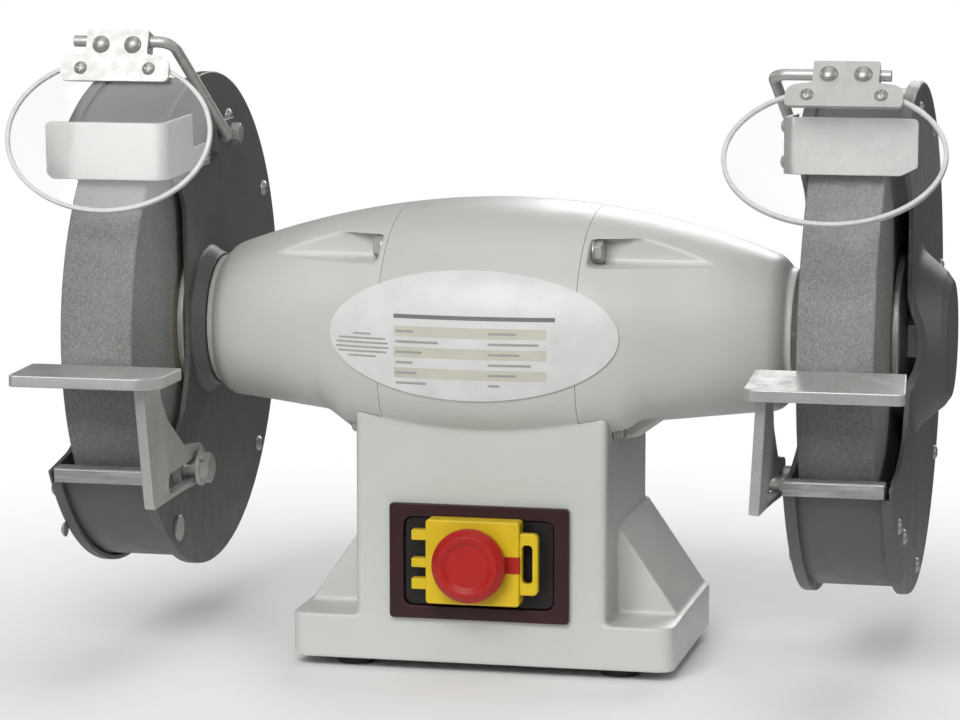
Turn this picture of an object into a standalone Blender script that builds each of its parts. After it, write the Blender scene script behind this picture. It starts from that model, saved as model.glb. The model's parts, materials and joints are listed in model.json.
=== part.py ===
"""Double-ended bench grinder with two 250 mm wheels, as an assembly of separate pieces.

Metres, +Z up, +X to the operator's right, -Y towards the operator. The origin is on the bench, under the
middle of the machine. Positions named without "world" count from the middle of the spindle.
"""

import math

import bmesh
import bpy
from mathutils import Matrix, Vector

# ------------------------------------------------------------------ driving dimensions

SPINDLE_HEIGHT = 0.1820
SPINDLE_SETBACK = 0.0172
SPINDLE_SHIFT = -0.0035
CENTRE = Vector((SPINDLE_SHIFT, SPINDLE_SETBACK, SPINDLE_HEIGHT))
GAP = 0.0003

WHEEL_RADIUS = 0.125
WHEEL_WIDTH = 0.040
WHEEL_INSIDE = 0.1775
WHEEL_BORE = 0.0160
WHEEL_CHAMFER = 0.0010
FLANGE_RADIUS = 0.045

SPINDLE_RADIUS = 0.0125
THREAD_RADIUS = 0.0100
SPINDLE_END = 0.2370
NUT_ACROSS_CORNERS = 0.0173

BARREL_END = 0.160
BARREL_SEAM = 0.054
BARREL_FILLET = 0.010
BARREL_TOP = 0.0715
BARREL_DEPTH = 0.088
LUG_START = 0.078
LUG_END = 0.092
STATOR_BORE = 0.0574

BELL_BOLT_Y = 0.048
BELL_BOLT_Z = 0.048
BELL_BOLT_RADIUS = 0.003
BELL_HEAD_RADIUS = 0.0062
BELL_BOLT_TIP = 0.040
UPPER_POCKET_END = 0.0575
LOWER_POCKET_END = 0.0700
POCKET_HALF_HEIGHT = 0.007
POCKET_FLOOR = 0.040

PEDESTAL_HALF_WIDTH = 0.0695
PEDESTAL_FRONT = -0.0697
PEDESTAL_BACK = 0.055
PLINTH_HALF_WIDTH = 0.106
PLINTH_FRONT = -0.070
PLINTH_BACK = 0.064
PLINTH_TOP = -0.152
PLINTH_BOTTOM = -0.1764
PLINTH_CORNER = 0.009
FLARE_TOP = -0.103
FLARE_FRONT = -0.036
CASTING_WALL = 0.008
FOOT_X = 0.074
FOOT_FRONT = -0.050
FOOT_BACK = 0.045
FOOT_RADIUS = 0.012
GLAND = (0.045, -0.130)

SWITCH_HEIGHT = -0.120
BEZEL_HALF = (0.0495, 0.0315)
BEZEL_WINDOW = (0.0415, 0.0245)
LID_HINGE_X = -0.032
LID_HINGE_Y = -0.0765
LID_FRONT = -0.0860
LID_BACK = -0.0742
BUTTON_TRAVEL = 0.003
BUTTON_HEIGHT = -0.1175
STOP_X = -0.001
START_X = 0.0155
LID_BODY = (-0.0265, 0.0250)
LID_HALF_HEIGHT = 0.0230
MUSHROOM_RADIUS = 0.020

PLATE_RADIUS = 0.1387
PLATE_FACE = 0.1710
HUB_FACE = 0.1635
SHEET = 0.0025
PLATE_RIM = 0.0065
BAND_OUTSIDE = 0.1347
BAND_EDGE = 0.2240
COVER_FACE = 0.2280
COVER_INSIDE = 0.2255
COVER_RIM_EDGE = 0.2215
COVER_HUB_FACE = 0.2465

REST_BOLT = (-0.073, -0.071)
REST_BACK = -0.1275
REST_FRONT = -0.1730
REST_THICKNESS = 0.0062
ARM_THICKNESS = 0.0055

ARRESTER_FRONT = -0.0970
ARRESTER_REAR = -0.0160
ARRESTER_INSIDE = 0.1650

CLAMP = (0.0060, 0.1020)
ROD_RADIUS = 0.0030
ROD_LENGTH = 0.119
ROD_PLANE = 0.1605
SHIELD_DROP = 0.052
SHIELD_SEMI_AXES = (0.0572, 0.043)
SHIELD_THICKNESS = 0.003

# How the two ends differ: the turn of the guard on the spindle, and how the adjustable pieces are set.
ENDS = {
    "left": {"side": -1, "turn": math.radians(2.0), "rest_tilt": math.radians(-2.0),
             "rest_inside": 0.1485, "rest_outside": 0.2325, "rest_front_outside": 0.2300,
             "rest_chamfer": 0.010, "arm_outside": 0.1655, "arm_splay": math.radians(1.0),
             "arrester_heights": (0.0895, 0.1203), "arrester_outside": 0.2320,
             "rod_rise": math.radians(29.3), "rod_tip": 0.2145, "shield_tilt": math.radians(20.6),
             "bracket_middle": 0.1890, "shield_middle": 0.1900},
    "right": {"side": 1, "turn": math.radians(-2.0), "rest_tilt": math.radians(7.0),
              "rest_inside": 0.1570, "rest_outside": 0.2345, "rest_front_outside": 0.2385,
              "rest_chamfer": 0.004, "arm_outside": 0.1680, "arm_splay": math.radians(4.0),
              "arrester_heights": (0.0920, 0.1215), "arrester_outside": 0.2350,
              "rod_rise": math.radians(22.6), "rod_tip": 0.2215, "shield_tilt": math.radians(40.2),
              "bracket_middle": 0.1990, "shield_middle": 0.1970},
}

# name: (colour, metallic, roughness)
FINISHES = {
    "housing_paint": ((0.60, 0.61, 0.57), 0.0, 0.42),
    "guard_paint": ((0.13, 0.135, 0.12), 0.0, 0.5),
    "zinc": ((0.62, 0.62, 0.60), 1.0, 0.35),
    "rest_steel": ((0.42, 0.43, 0.41), 0.8, 0.45),
    "dark_steel": ((0.18, 0.18, 0.18), 1.0, 0.4),
    "abrasive": ((0.28, 0.28, 0.27), 0.0, 0.95),
    "rubber": ((0.02, 0.02, 0.02), 0.0, 0.8),
    "label": ((0.80, 0.80, 0.78), 0.0, 0.4),
    "switch_black": ((0.02, 0.015, 0.015), 0.0, 0.45),
    "switch_maroon": ((0.055, 0.008, 0.012), 0.0, 0.4),
    "switch_yellow": ((0.80, 0.58, 0.02), 0.0, 0.4),
    "switch_red": ((0.75, 0.03, 0.02), 0.0, 0.35),
    "switch_green": ((0.02, 0.30, 0.06), 0.0, 0.4),
    "lens": ((0.85, 0.90, 0.90), 0.0, 0.08),
    "copper": ((0.60, 0.24, 0.10), 0.9, 0.45),
}

# ------------------------------------------------------------------ scene and materials

for leftover in list(bpy.data.objects):
    bpy.data.objects.remove(leftover, do_unlink=True)

parts = bpy.data.collections.new("bench_grinder")
cutters = bpy.data.collections.new("bench_grinder_cutters")
for group in (parts, cutters):
    bpy.context.scene.collection.children.link(group)


def make_material(name):
    colour, metallic, roughness = FINISHES[name]
    material = bpy.data.materials.new(name)
    material.use_nodes = True
    shader = material.node_tree.nodes["Principled BSDF"]
    shader.inputs["Base Color"].default_value = (*colour, 1.0)
    shader.inputs["Metallic"].default_value = metallic
    shader.inputs["Roughness"].default_value = roughness
    if name == "lens":
        shader.inputs["Transmission Weight"].default_value = 0.95
    return material


materials = {name: make_material(name) for name in FINISHES}


def empty_at(name, location, parent=None, turn=0.0):
    """An empty to carry pieces; turn is its rotation about X."""
    carrier = bpy.data.objects.new(name, None)
    carrier.empty_display_size = 0.02
    carrier.location = location
    carrier.rotation_euler = (turn, 0.0, 0.0)
    carrier.parent = parent
    parts.objects.link(carrier)
    return carrier


machine = empty_at("machine", CENTRE)


def add_part(name, data, finish, parent=None):
    """Puts mesh or curve data in the scene as one piece, with its origin where its parent is."""
    piece = bpy.data.objects.new(name, data)
    piece.parent = parent or machine
    parts.objects.link(piece)
    data.materials.append(materials[finish])
    if isinstance(data, bpy.types.Mesh):
        data.shade_smooth()
        data.set_sharp_from_angle(angle=math.radians(35))
    return piece


def add_tool(name, data, parent=None):
    """A helper solid that cuts or joins another piece and isn't a piece itself."""
    tool = bpy.data.objects.new(name, data)
    tool.parent = parent or machine
    tool.hide_render = True
    tool.display_type = "WIRE"
    cutters.objects.link(tool)
    return tool


def combine(piece, tool, operation):
    step = piece.modifiers.new(f"{operation.lower()}_{tool.name}", "BOOLEAN")
    step.operation = operation
    step.solver = "EXACT"
    step.object = tool


def cut(piece, tool):
    combine(piece, tool, "DIFFERENCE")


def join(piece, tool):
    combine(piece, tool, "UNION")


# ------------------------------------------------------------------ shape makers

AXIS_TURNS = {
    "X": Matrix(((0, 0, 1), (1, 0, 0), (0, 1, 0))).to_4x4(),
    "Y": Matrix(((1, 0, 0), (0, 0, -1), (0, 1, 0))).to_4x4(),
    "Z": Matrix.Identity(4),
}


def mesh_from(name, build):
    """A mesh that build(bm) fills in, with its faces turned outwards."""
    bm = bmesh.new()
    build(bm)
    bmesh.ops.recalc_face_normals(bm, faces=bm.faces)
    mesh = bpy.data.meshes.new(name)
    bm.to_mesh(mesh)
    bm.free()
    return mesh


def box(name, low, high):
    size = Vector(high) - Vector(low)
    middle = (Vector(high) + Vector(low)) / 2

    def build(bm):
        bmesh.ops.create_cube(bm, size=1.0)
        bmesh.ops.scale(bm, vec=size, verts=bm.verts)
        bmesh.ops.translate(bm, vec=middle, verts=bm.verts)

    return mesh_from(name, build)


def spans(side, inside, outside):
    """The low and high x of a stretch that is given by its distances from the middle."""
    return tuple(sorted((side * inside, side * outside)))


def cylinder(name, axis, radius, low, high, centre=(0.0, 0.0), segments=32, end_radius=None):
    """A cylinder or cone along an axis; centre is its place across that axis, in the outline's order."""

    def build(bm):
        bmesh.ops.create_cone(bm, cap_ends=True, segments=segments, radius1=radius,
                              radius2=radius if end_radius is None else end_radius, depth=high - low)
        place = AXIS_TURNS[axis] @ Matrix.Translation((centre[0], centre[1], (low + high) / 2))
        bmesh.ops.transform(bm, matrix=place, verts=bm.verts)

    if axis == "Y":
        low, high = -high, -low
    return mesh_from(name, build)


def evaluated(name, data, axis, lift=0.0, add_steps=None):
    """The final mesh of curve or mesh data, with its Z turned onto the axis and its skin closed."""
    holder = bpy.data.objects.new(name, data)
    bpy.context.scene.collection.objects.link(holder)
    if add_steps:
        add_steps(holder)
    final = holder.evaluated_get(bpy.context.evaluated_depsgraph_get())
    mesh = bpy.data.meshes.new_from_object(final)
    bm = bmesh.new()
    bm.from_mesh(mesh)
    bmesh.ops.remove_doubles(bm, verts=bm.verts, dist=1e-6)
    place = AXIS_TURNS[axis] @ Matrix.Translation((0.0, 0.0, lift))
    bmesh.ops.transform(bm, matrix=place, verts=bm.verts)
    bmesh.ops.recalc_face_normals(bm, faces=bm.faces)
    bm.to_mesh(mesh)
    bm.free()
    bpy.data.objects.remove(holder, do_unlink=True)
    return mesh


def slab(name, outline, axis, low, high):
    """A flat outline drawn out along an axis: (y, z) along X, (x, z) along Y, (x, y) along Z."""
    if axis == "Y":
        low, high = -high, -low
    curve = bpy.data.curves.new(name, "CURVE")
    curve.dimensions = "2D"
    curve.fill_mode = "BOTH"
    curve.extrude = (high - low) / 2
    spline = curve.splines.new("POLY")
    spline.points.add(len(outline) - 1)
    for point, (u, v) in zip(spline.points, outline):
        point.co = (u, v, 0.0, 1.0)
    spline.use_cyclic_u = True
    return evaluated(name, curve, axis, (low + high) / 2)


def rounded(corners, steps=4):
    """An outline whose corners (u, v, radius) are rounded where the radius isn't 0."""
    outline = []
    for i, (u, v, radius) in enumerate(corners):
        corner = Vector((u, v))
        before = Vector(corners[i - 1][:2]) - corner
        after = Vector(corners[(i + 1) % len(corners)][:2]) - corner
        if radius == 0.0:
            outline.append((u, v))
            continue
        half = before.angle(after) / 2
        reach = radius / math.tan(half)
        heart = corner + (before.normalized() + after.normalized()).normalized() * radius / math.sin(half)
        start = corner + before.normalized() * reach - heart
        end = corner + after.normalized() * reach - heart
        sweep = start.angle_signed(end)
        for k in range(steps + 1):
            spoke = start.copy()
            spoke.rotate(Matrix.Rotation(-sweep * k / steps, 2))
            outline.append(tuple(heart + spoke))
    return outline


def rectangle(low, high, radius=0.0, steps=4):
    corners = [(low[0], low[1], radius), (high[0], low[1], radius),
               (high[0], high[1], radius), (low[0], high[1], radius)]
    return rounded(corners, steps)


def ellipse(centre, semi_u, semi_v, count):
    angles = [2 * math.pi * k / count for k in range(count)]
    return [(centre[0] + semi_u * math.cos(a), centre[1] + semi_v * math.sin(a)) for a in angles]


def turned(name, profile, side, segments=36):
    """A closed outline of (distance from the middle, radius) turned about X."""
    pairs = list(zip(profile, profile[1:] + profile[:1]))
    clockwise = sum(r0 * x1 - r1 * x0 for (x0, r0), (x1, r1) in pairs) < 0
    outline = profile if clockwise else profile[::-1]
    count = len(outline)
    edges = [(i, (i + 1) % count) for i in range(count) if outline[i][1] or outline[(i + 1) % count][1]]
    section = bpy.data.meshes.new(f"{name}_section")
    section.from_pydata([(r, 0.0, x) for x, r in outline], edges, [])

    def add_turn(holder):
        turn = holder.modifiers.new("turn", "SCREW")
        turn.axis = "Z"
        turn.steps = turn.render_steps = segments
        turn.use_merge_vertices = True
        turn.merge_threshold = 1e-5

    mesh = evaluated(name, section, "X", add_steps=add_turn)
    if side < 0:
        mesh.transform(Matrix.Rotation(math.pi, 4, "Z"))
    return mesh


def bent(corners, radius, steps=5):
    """A path through 3-D corners, with each inner corner bent to an arc."""
    points = [Vector(corners[0])]
    for before, here, after in zip(corners, corners[1:], corners[2:]):
        here = Vector(here)
        back = (Vector(before) - here).normalized()
        ahead = (Vector(after) - here).normalized()
        half = back.angle(ahead) / 2
        reach = radius / math.tan(half)
        heart = here + (back + ahead).normalized() * radius / math.sin(half)
        start = here + back * reach - heart
        end = here + ahead * reach - heart
        axis = start.cross(end).normalized()
        for k in range(steps + 1):
            spoke = start.copy()
            spoke.rotate(Matrix.Rotation(start.angle(end) * k / steps, 3, axis))
            points.append(heart + spoke)
    points.append(Vector(corners[-1]))
    return points


def tube(name, points, radius):
    curve = bpy.data.curves.new(name, "CURVE")
    curve.dimensions = "3D"
    curve.bevel_depth = radius
    curve.bevel_resolution = 3
    curve.use_fill_caps = True
    spline = curve.splines.new("POLY")
    spline.points.add(len(points) - 1)
    for point, place in zip(spline.points, points):
        point.co = (*place, 1.0)
    return curve


# ------------------------------------------------------------------ motor barrel


def barrel_half_sizes(x):
    """The barrel's half depth, its height above the spindle and its depth below it, at a distance x."""
    share = min(abs(x) / BARREL_END, 1.0)
    depth = BARREL_DEPTH - 1.76 * x * x
    top = BARREL_TOP - 1.22 * x * x
    near_pedestal = min(max((LUG_END - abs(x)) / (LUG_END - LUG_START), 0.0), 1.0)
    below = 0.0415 + 0.0095 * (1.0 - share * share) ** 1.5 + 0.009 * near_pedestal
    into_fillet = abs(x) - (BARREL_END - BARREL_FILLET)
    if into_fillet > 0.0:
        inset = BARREL_FILLET - math.sqrt(max(BARREL_FILLET ** 2 - into_fillet ** 2, 0.0))
        depth, top, below = depth - inset, top - inset, below - inset
    return depth, top, below


def barrel_powers(x):
    """How square the section is above and below the spindle: 2 is an ellipse."""
    share = min(abs(x) / BARREL_END, 1.0)
    return 2.25 - 0.15 * share, 3.0 - 0.8 * share * share


def barrel_ring(x, grow=0.0, count=28):
    depth, top, below = barrel_half_sizes(x)
    upper_power, lower_power = barrel_powers(x)
    ring = []
    for k in range(count):
        angle = 2 * math.pi * k / count
        across, up = math.cos(angle), math.sin(angle)
        power = upper_power if up >= 0 else lower_power
        reach = (abs(across) ** power + abs(up) ** power) ** (-1.0 / power)
        height = (top if up >= 0 else below) + grow
        ring.append((x, (depth + grow) * across * reach, height * up * reach))
    return ring


def barrel_front(x, z):
    """The y of the barrel's front surface."""
    depth, top, below = barrel_half_sizes(x)
    upper_power, lower_power = barrel_powers(x)
    height, power = (top, upper_power) if z >= 0 else (below, lower_power)
    return -depth * (1.0 - (abs(z) / height) ** power) ** (1.0 / power)


def barrel_length(name, stations, grow=0.0):
    """A length of the barrel as a closed loft between its sections."""

    def build(bm):
        rings = [[bm.verts.new(p) for p in barrel_ring(x, grow)] for x in stations]
        for ring, following in zip(rings, rings[1:]):
            for i in range(len(ring)):
                j = (i + 1) % len(ring)
                bm.faces.new((ring[i], ring[j], following[j], following[i]))
        bm.faces.new(rings[0])
        bm.faces.new(rings[-1])

    return mesh_from(name, build)


def bell_stations(side):
    start = BARREL_SEAM + GAP / 2
    fillet = BARREL_END - BARREL_FILLET
    body = [start, LUG_START, LUG_END, 0.112, 0.132, fillet]
    end = [fillet + BARREL_FILLET * math.sin(math.radians(a)) for a in (35, 65, 90)]
    return [side * x for x in body + end]


BELL_BOLTS = [(y, z) for y in (-BELL_BOLT_Y, BELL_BOLT_Y) for z in (-BELL_BOLT_Z, BELL_BOLT_Z)]


def pocket_end(z):
    """How far from the middle a bell bolt's head sits."""
    return UPPER_POCKET_END if z > 0 else LOWER_POCKET_END


def build_casting():
    half = BARREL_SEAM - GAP / 2
    stations = [-half, -half / 2, 0.0, half / 2, half]
    casting = add_part("housing_casting", barrel_length("housing_casting", stations), "housing_paint")

    half_width = PEDESTAL_HALF_WIDTH
    pedestal = rectangle((-half_width, PEDESTAL_FRONT), (half_width, PEDESTAL_BACK), 0.004, 2)
    join(casting, add_tool("pedestal", slab("pedestal", pedestal, "Z", PLINTH_TOP - 0.002, -0.030)))
    half_width = PLINTH_HALF_WIDTH
    plinth = rectangle((-half_width, PLINTH_FRONT), (half_width, PLINTH_BACK), PLINTH_CORNER, 3)
    join(casting, add_tool("plinth", slab("plinth", plinth, "Z", PLINTH_BOTTOM, PLINTH_TOP)))
    inner = PEDESTAL_HALF_WIDTH - 0.006
    outer = PLINTH_HALF_WIDTH - 0.003
    for side in (-1, 1):
        flare = [(side * inner, FLARE_TOP), (side * (PEDESTAL_HALF_WIDTH + 0.0005), FLARE_TOP),
                 (side * outer, PLINTH_TOP + 0.001), (side * outer, PLINTH_TOP - 0.003),
                 (side * inner, PLINTH_TOP - 0.003)]
        tool = slab(f"flare_{side}", flare, "Y", FLARE_FRONT, PEDESTAL_BACK + 0.004)
        join(casting, add_tool(f"flare_{side}", tool))

    for side in (-1, 1):
        saddle = [side * x for x in (half, LUG_START, LUG_END, 0.095)]
        cut(casting, add_tool(f"saddle_{side}", barrel_length(f"saddle_{side}", saddle, GAP)))
        low, high = spans(side, half, 0.080)
        cap = box(f"above_bell_{side}", (low, -0.08, -0.0345), (high, 0.08, 0.0))
        cut(casting, add_tool(f"above_bell_{side}", cap))
    cut(casting, add_tool("stator_bore", cylinder("stator_bore", "X", STATOR_BORE, -0.1, 0.1, segments=24)))
    wall = CASTING_WALL
    cavity = rectangle((-0.062, PEDESTAL_FRONT + wall), (0.062, PEDESTAL_BACK - wall), 0.006, 1)
    cut(casting, add_tool("pedestal_hollow", slab("pedestal_hollow", cavity, "Z", -0.19, -0.067)))
    cavity = rectangle((-0.098, PLINTH_FRONT + wall), (0.098, PLINTH_BACK - wall), 0.006, 1)
    cut(casting, add_tool("plinth_hollow", slab("plinth_hollow", cavity, "Z", -0.19, -0.160)))
    wires = cylinder("wire_hole", "Z", 0.009, -0.09, -0.04, (0.0, 0.02), 20)
    cut(casting, add_tool("wire_hole", wires))
    reach = 0.0005
    window = box("switch_window", (-BEZEL_WINDOW[0] - reach, -0.09, SWITCH_HEIGHT - BEZEL_WINDOW[1] - reach),
                 (BEZEL_WINDOW[0] + reach, -0.05, SWITCH_HEIGHT + BEZEL_WINDOW[1] + reach))
    cut(casting, add_tool("switch_window", window))
    for i, (y, z) in enumerate(BELL_BOLTS):
        hole = cylinder(f"bolt_hole_{i}", "X", BELL_BOLT_RADIUS + 2 * GAP, -0.085, 0.085, (y, z), 10)
        cut(casting, add_tool(f"bolt_hole_{i}", hole))
    gland = cylinder("gland_hole", "Y", 0.0090, 0.04, 0.08, GLAND, 16)
    cut(casting, add_tool("gland_hole", gland))


def build_bell(end, side):
    bell = add_part(f"end_bell_{end}", barrel_length(f"end_bell_{end}", bell_stations(side)), "housing_paint")
    boss = cylinder(f"boss_{end}", "X", 0.036, *spans(side, 0.150, HUB_FACE - GAP), segments=24)
    join(bell, add_tool(f"boss_{end}", boss))
    hollow = [(0.050, 0.0), (0.050, 0.0540), (0.078, 0.0500), (0.092, 0.0415), (0.1400, 0.0310),
              (0.1400, 0.0263), (0.1563, 0.0263), (0.1563, 0.0150), (0.170, 0.0150), (0.170, 0.0)]
    cut(bell, add_tool(f"bell_hollow_{end}", turned(f"bell_hollow_{end}", hollow, side, 20)))
    for i, (y, z) in enumerate(BELL_BOLTS):
        if z > 0:
            near, far = sorted((math.copysign(POCKET_FLOOR, y), math.copysign(0.10, y)))
            bottom, top = z - POCKET_HALF_HEIGHT, z + POCKET_HALF_HEIGHT
        else:
            near, far = sorted((math.copysign(POCKET_FLOOR, y), math.copysign(BELL_BOLT_Y + 0.008, y)))
            bottom, top = -0.10, z + POCKET_HALF_HEIGHT
        low, high = spans(side, pocket_end(z), 0.158)
        pocket = box(f"pocket_{end}_{i}", (low, near, bottom), (high, far, top))
        cut(bell, add_tool(f"pocket_{end}_{i}", pocket))
        reach = spans(side, 0.050, 0.077)
        hole = cylinder(f"bell_hole_{end}_{i}", "X", BELL_BOLT_RADIUS + 2 * GAP, *reach, (y, z), 10)
        cut(bell, add_tool(f"bell_hole_{end}_{i}", hole))


def build_bell_bolts(end, side):
    for y, z in BELL_BOLTS:
        level = "upper" if z > 0 else "lower"
        face = "front" if y < 0 else "rear"
        name = f"bell_bolt_{end}_{face}_{level}"
        seat = pocket_end(z)
        head = cylinder(name, "X", BELL_HEAD_RADIUS, *spans(side, seat + GAP, seat + 0.006), (y, z), 6)
        bolt = add_part(name, head, "zinc")
        reach = spans(side, BELL_BOLT_TIP, seat + 0.002)
        shank = cylinder(f"{name}_shank", "X", BELL_BOLT_RADIUS, *reach, (y, z), 10)
        join(bolt, add_tool(f"{name}_shank", shank))


def build_nameplate():
    """A thin oval label that follows the barrel's front."""
    rings, count = 3, 24
    centre_x, centre_z = -0.002, 0.005
    half_x, half_z = 0.079, 0.0345
    offset = 0.0005

    def build(bm):
        def spot(share, k):
            angle = 2 * math.pi * k / count
            x = centre_x + half_x * share * math.cos(angle)
            z = centre_z + half_z * share * math.sin(angle)
            return bm.verts.new((x, barrel_front(x, z) - offset, z))

        middle = spot(0.0, 0)
        grid = [[spot((r + 1) / rings, k) for k in range(count)] for r in range(rings)]
        for k in range(count):
            j = (k + 1) % count
            bm.faces.new((middle, grid[0][k], grid[0][j]))
            for inner, outer in zip(grid, grid[1:]):
                bm.faces.new((inner[k], outer[k], outer[j], inner[j]))

    plate = add_part("nameplate", mesh_from("nameplate", build), "label")
    skin = plate.modifiers.new("thickness", "SOLIDIFY")
    skin.thickness = 0.0005
    skin.offset = 1.0 if plate.data.polygons[0].normal.y < 0 else -1.0


# ------------------------------------------------------------------ motor, spindle and wheels


def ring_part(name, finish, side, inner, outer, start, end):
    profile = [(start, inner), (start, outer), (end, outer), (end, inner)]
    return add_part(name, turned(name, profile, side, 20), finish)


def build_motor():
    ring_part("stator_core", "dark_steel", 1, 0.0365, 0.0568, -0.030, 0.030)
    for end, setting in ENDS.items():
        side = setting["side"]
        profile = [(0.0303, 0.0380), (0.0303, 0.0525), (0.0460, 0.0510), (0.0495, 0.0450), (0.0460, 0.0390)]
        add_part(f"stator_winding_{end}", turned(f"stator_winding_{end}", profile, side, 20), "copper")
        ring_part(f"bearing_{end}", "zinc", side, SPINDLE_RADIUS + GAP, 0.0260, 0.1410, 0.1560)
    ring_part("rotor_core", "dark_steel", 1, SPINDLE_RADIUS + GAP, 0.0360, -0.0295, 0.0295)
    ring_part("wave_spring", "zinc", -1, 0.0185, 0.0255, 0.1400 + 0.0001, 0.1407)

    shaft = [(-SPINDLE_END, 0.0), (-SPINDLE_END, THREAD_RADIUS), (-0.1665, THREAD_RADIUS),
             (-0.1665, SPINDLE_RADIUS), (0.1665, SPINDLE_RADIUS), (0.1665, THREAD_RADIUS),
             (SPINDLE_END, THREAD_RADIUS), (SPINDLE_END, 0.0)]
    add_part("spindle", turned("spindle", shaft, 1, 20), "zinc")


def build_wheel(end, side):
    inside, outside = WHEEL_INSIDE, WHEEL_INSIDE + WHEEL_WIDTH
    edge = WHEEL_CHAMFER
    profile = [(inside, WHEEL_BORE), (inside, WHEEL_RADIUS - edge), (inside + edge, WHEEL_RADIUS),
               (outside - edge, WHEEL_RADIUS), (outside, WHEEL_RADIUS - edge), (outside, WHEEL_BORE)]
    add_part(f"wheel_{end}", turned(f"wheel_{end}", profile, side, 40), "abrasive")
    bore = THREAD_RADIUS + GAP
    inner = [(0.1668, bore), (0.1668, 0.0335), (0.1741, 0.0345), (0.1741, FLANGE_RADIUS),
             (inside - GAP, FLANGE_RADIUS), (inside - GAP, bore)]
    add_part(f"inner_flange_{end}", turned(f"inner_flange_{end}", inner, side, 20), "zinc")
    outer = [(outside + GAP, bore), (outside + GAP, FLANGE_RADIUS), (outside + 0.0035, FLANGE_RADIUS),
             (outside + 0.0055, 0.028), (outside + 0.0055, bore)]
    add_part(f"outer_flange_{end}", turned(f"outer_flange_{end}", outer, side, 20), "zinc")
    low, high = spans(side, outside + 0.0058, outside + 0.0165)
    hexagon = cylinder(f"spindle_nut_{end}", "X", NUT_ACROSS_CORNERS, low, high, segments=6)
    nut = add_part(f"spindle_nut_{end}", hexagon, "zinc")
    hole = cylinder(f"nut_hole_{end}", "X", bore, low - 0.01, high + 0.01, segments=20)
    cut(nut, add_tool(f"nut_hole_{end}", hole))


# ------------------------------------------------------------------ guards

OPENING = rounded([
    (-0.175, -0.0665, 0.0), (-0.122, -0.0665, 0.0), (-0.089, -0.0620, 0.030), (-0.058, -0.0510, 0.030),
    (-0.042, -0.0200, 0.035), (-0.042, 0.0740, 0.026), (-0.092, 0.1052, 0.0), (-0.175, 0.1100, 0.0),
], 4)


def build_guard(end, side, frame):
    """The inner guard shell and the outer cover; frame is the guard's own turn on the spindle."""
    hub, plate, sheet = HUB_FACE, PLATE_FACE, SHEET
    shell = [(hub, 0.0200), (hub, 0.0370), (plate, 0.0405), (plate, PLATE_RADIUS),
             (plate + PLATE_RIM, PLATE_RADIUS), (plate + PLATE_RIM, BAND_OUTSIDE), (BAND_EDGE, BAND_OUTSIDE),
             (BAND_EDGE, BAND_OUTSIDE - sheet), (plate + sheet, BAND_OUTSIDE - sheet),
             (plate + sheet, 0.0395), (hub + sheet, 0.0360), (hub + sheet, 0.0200)]
    guard = add_part(f"guard_shell_{end}", turned(f"guard_shell_{end}", shell, side), "guard_paint", frame)
    opening = slab(f"opening_{end}", OPENING, "X", *spans(side, 0.150, 0.260))
    opening_tool = add_tool(f"opening_{end}", opening, frame)
    cut(guard, opening_tool)
    ledge = rounded([(-0.1212, -0.0665, 0.0), (-0.1212, -0.0640, 0.0), (-0.1120, -0.0640, 0.0),
                     (-0.1120, -0.0662, 0.0), (-0.1172, -0.0690, 0.0), (-0.1192, -0.0720, 0.0),
                     (-0.1212, -0.0715, 0.0)])
    tool = slab(f"ledge_{end}", ledge, "X", *spans(side, plate + 0.001, BAND_EDGE))
    join(guard, add_tool(f"ledge_{end}", tool, frame))
    bolt_hole = cylinder(f"rest_bolt_hole_{end}", "X", 0.0055, *spans(side, 0.165, 0.177), REST_BOLT, 20)
    cut(guard, add_tool(f"rest_bolt_hole_{end}", bolt_hole, frame))

    face, inside, rim = COVER_FACE, COVER_INSIDE, COVER_RIM_EDGE
    dish = COVER_HUB_FACE - face
    cover = [(face + dish, 0.0), (face + dish, 0.0310), (face + dish - 0.0040, 0.0365), (face, 0.0490),
             (face, PLATE_RADIUS - 0.0015), (face - 0.0015, PLATE_RADIUS), (rim, PLATE_RADIUS),
             (rim, BAND_OUTSIDE + 0.0012), (inside, BAND_OUTSIDE + 0.0012), (inside, 0.0470),
             (inside + dish - 0.0040, 0.0345), (inside + dish, 0.0295), (inside + dish, 0.0)]
    lid = add_part(f"guard_cover_{end}", turned(f"guard_cover_{end}", cover, side), "guard_paint", frame)
    cut(lid, opening_tool)
    low, high = spans(side, rim - 0.010, inside + 0.0005)
    ledge_room = box(f"ledge_room_{end}", (low, -0.150, -0.0726), (high, -0.1085, -0.0600))
    cut(lid, add_tool(f"ledge_room_{end}", ledge_room, frame))


# ------------------------------------------------------------------ tool rest


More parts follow.
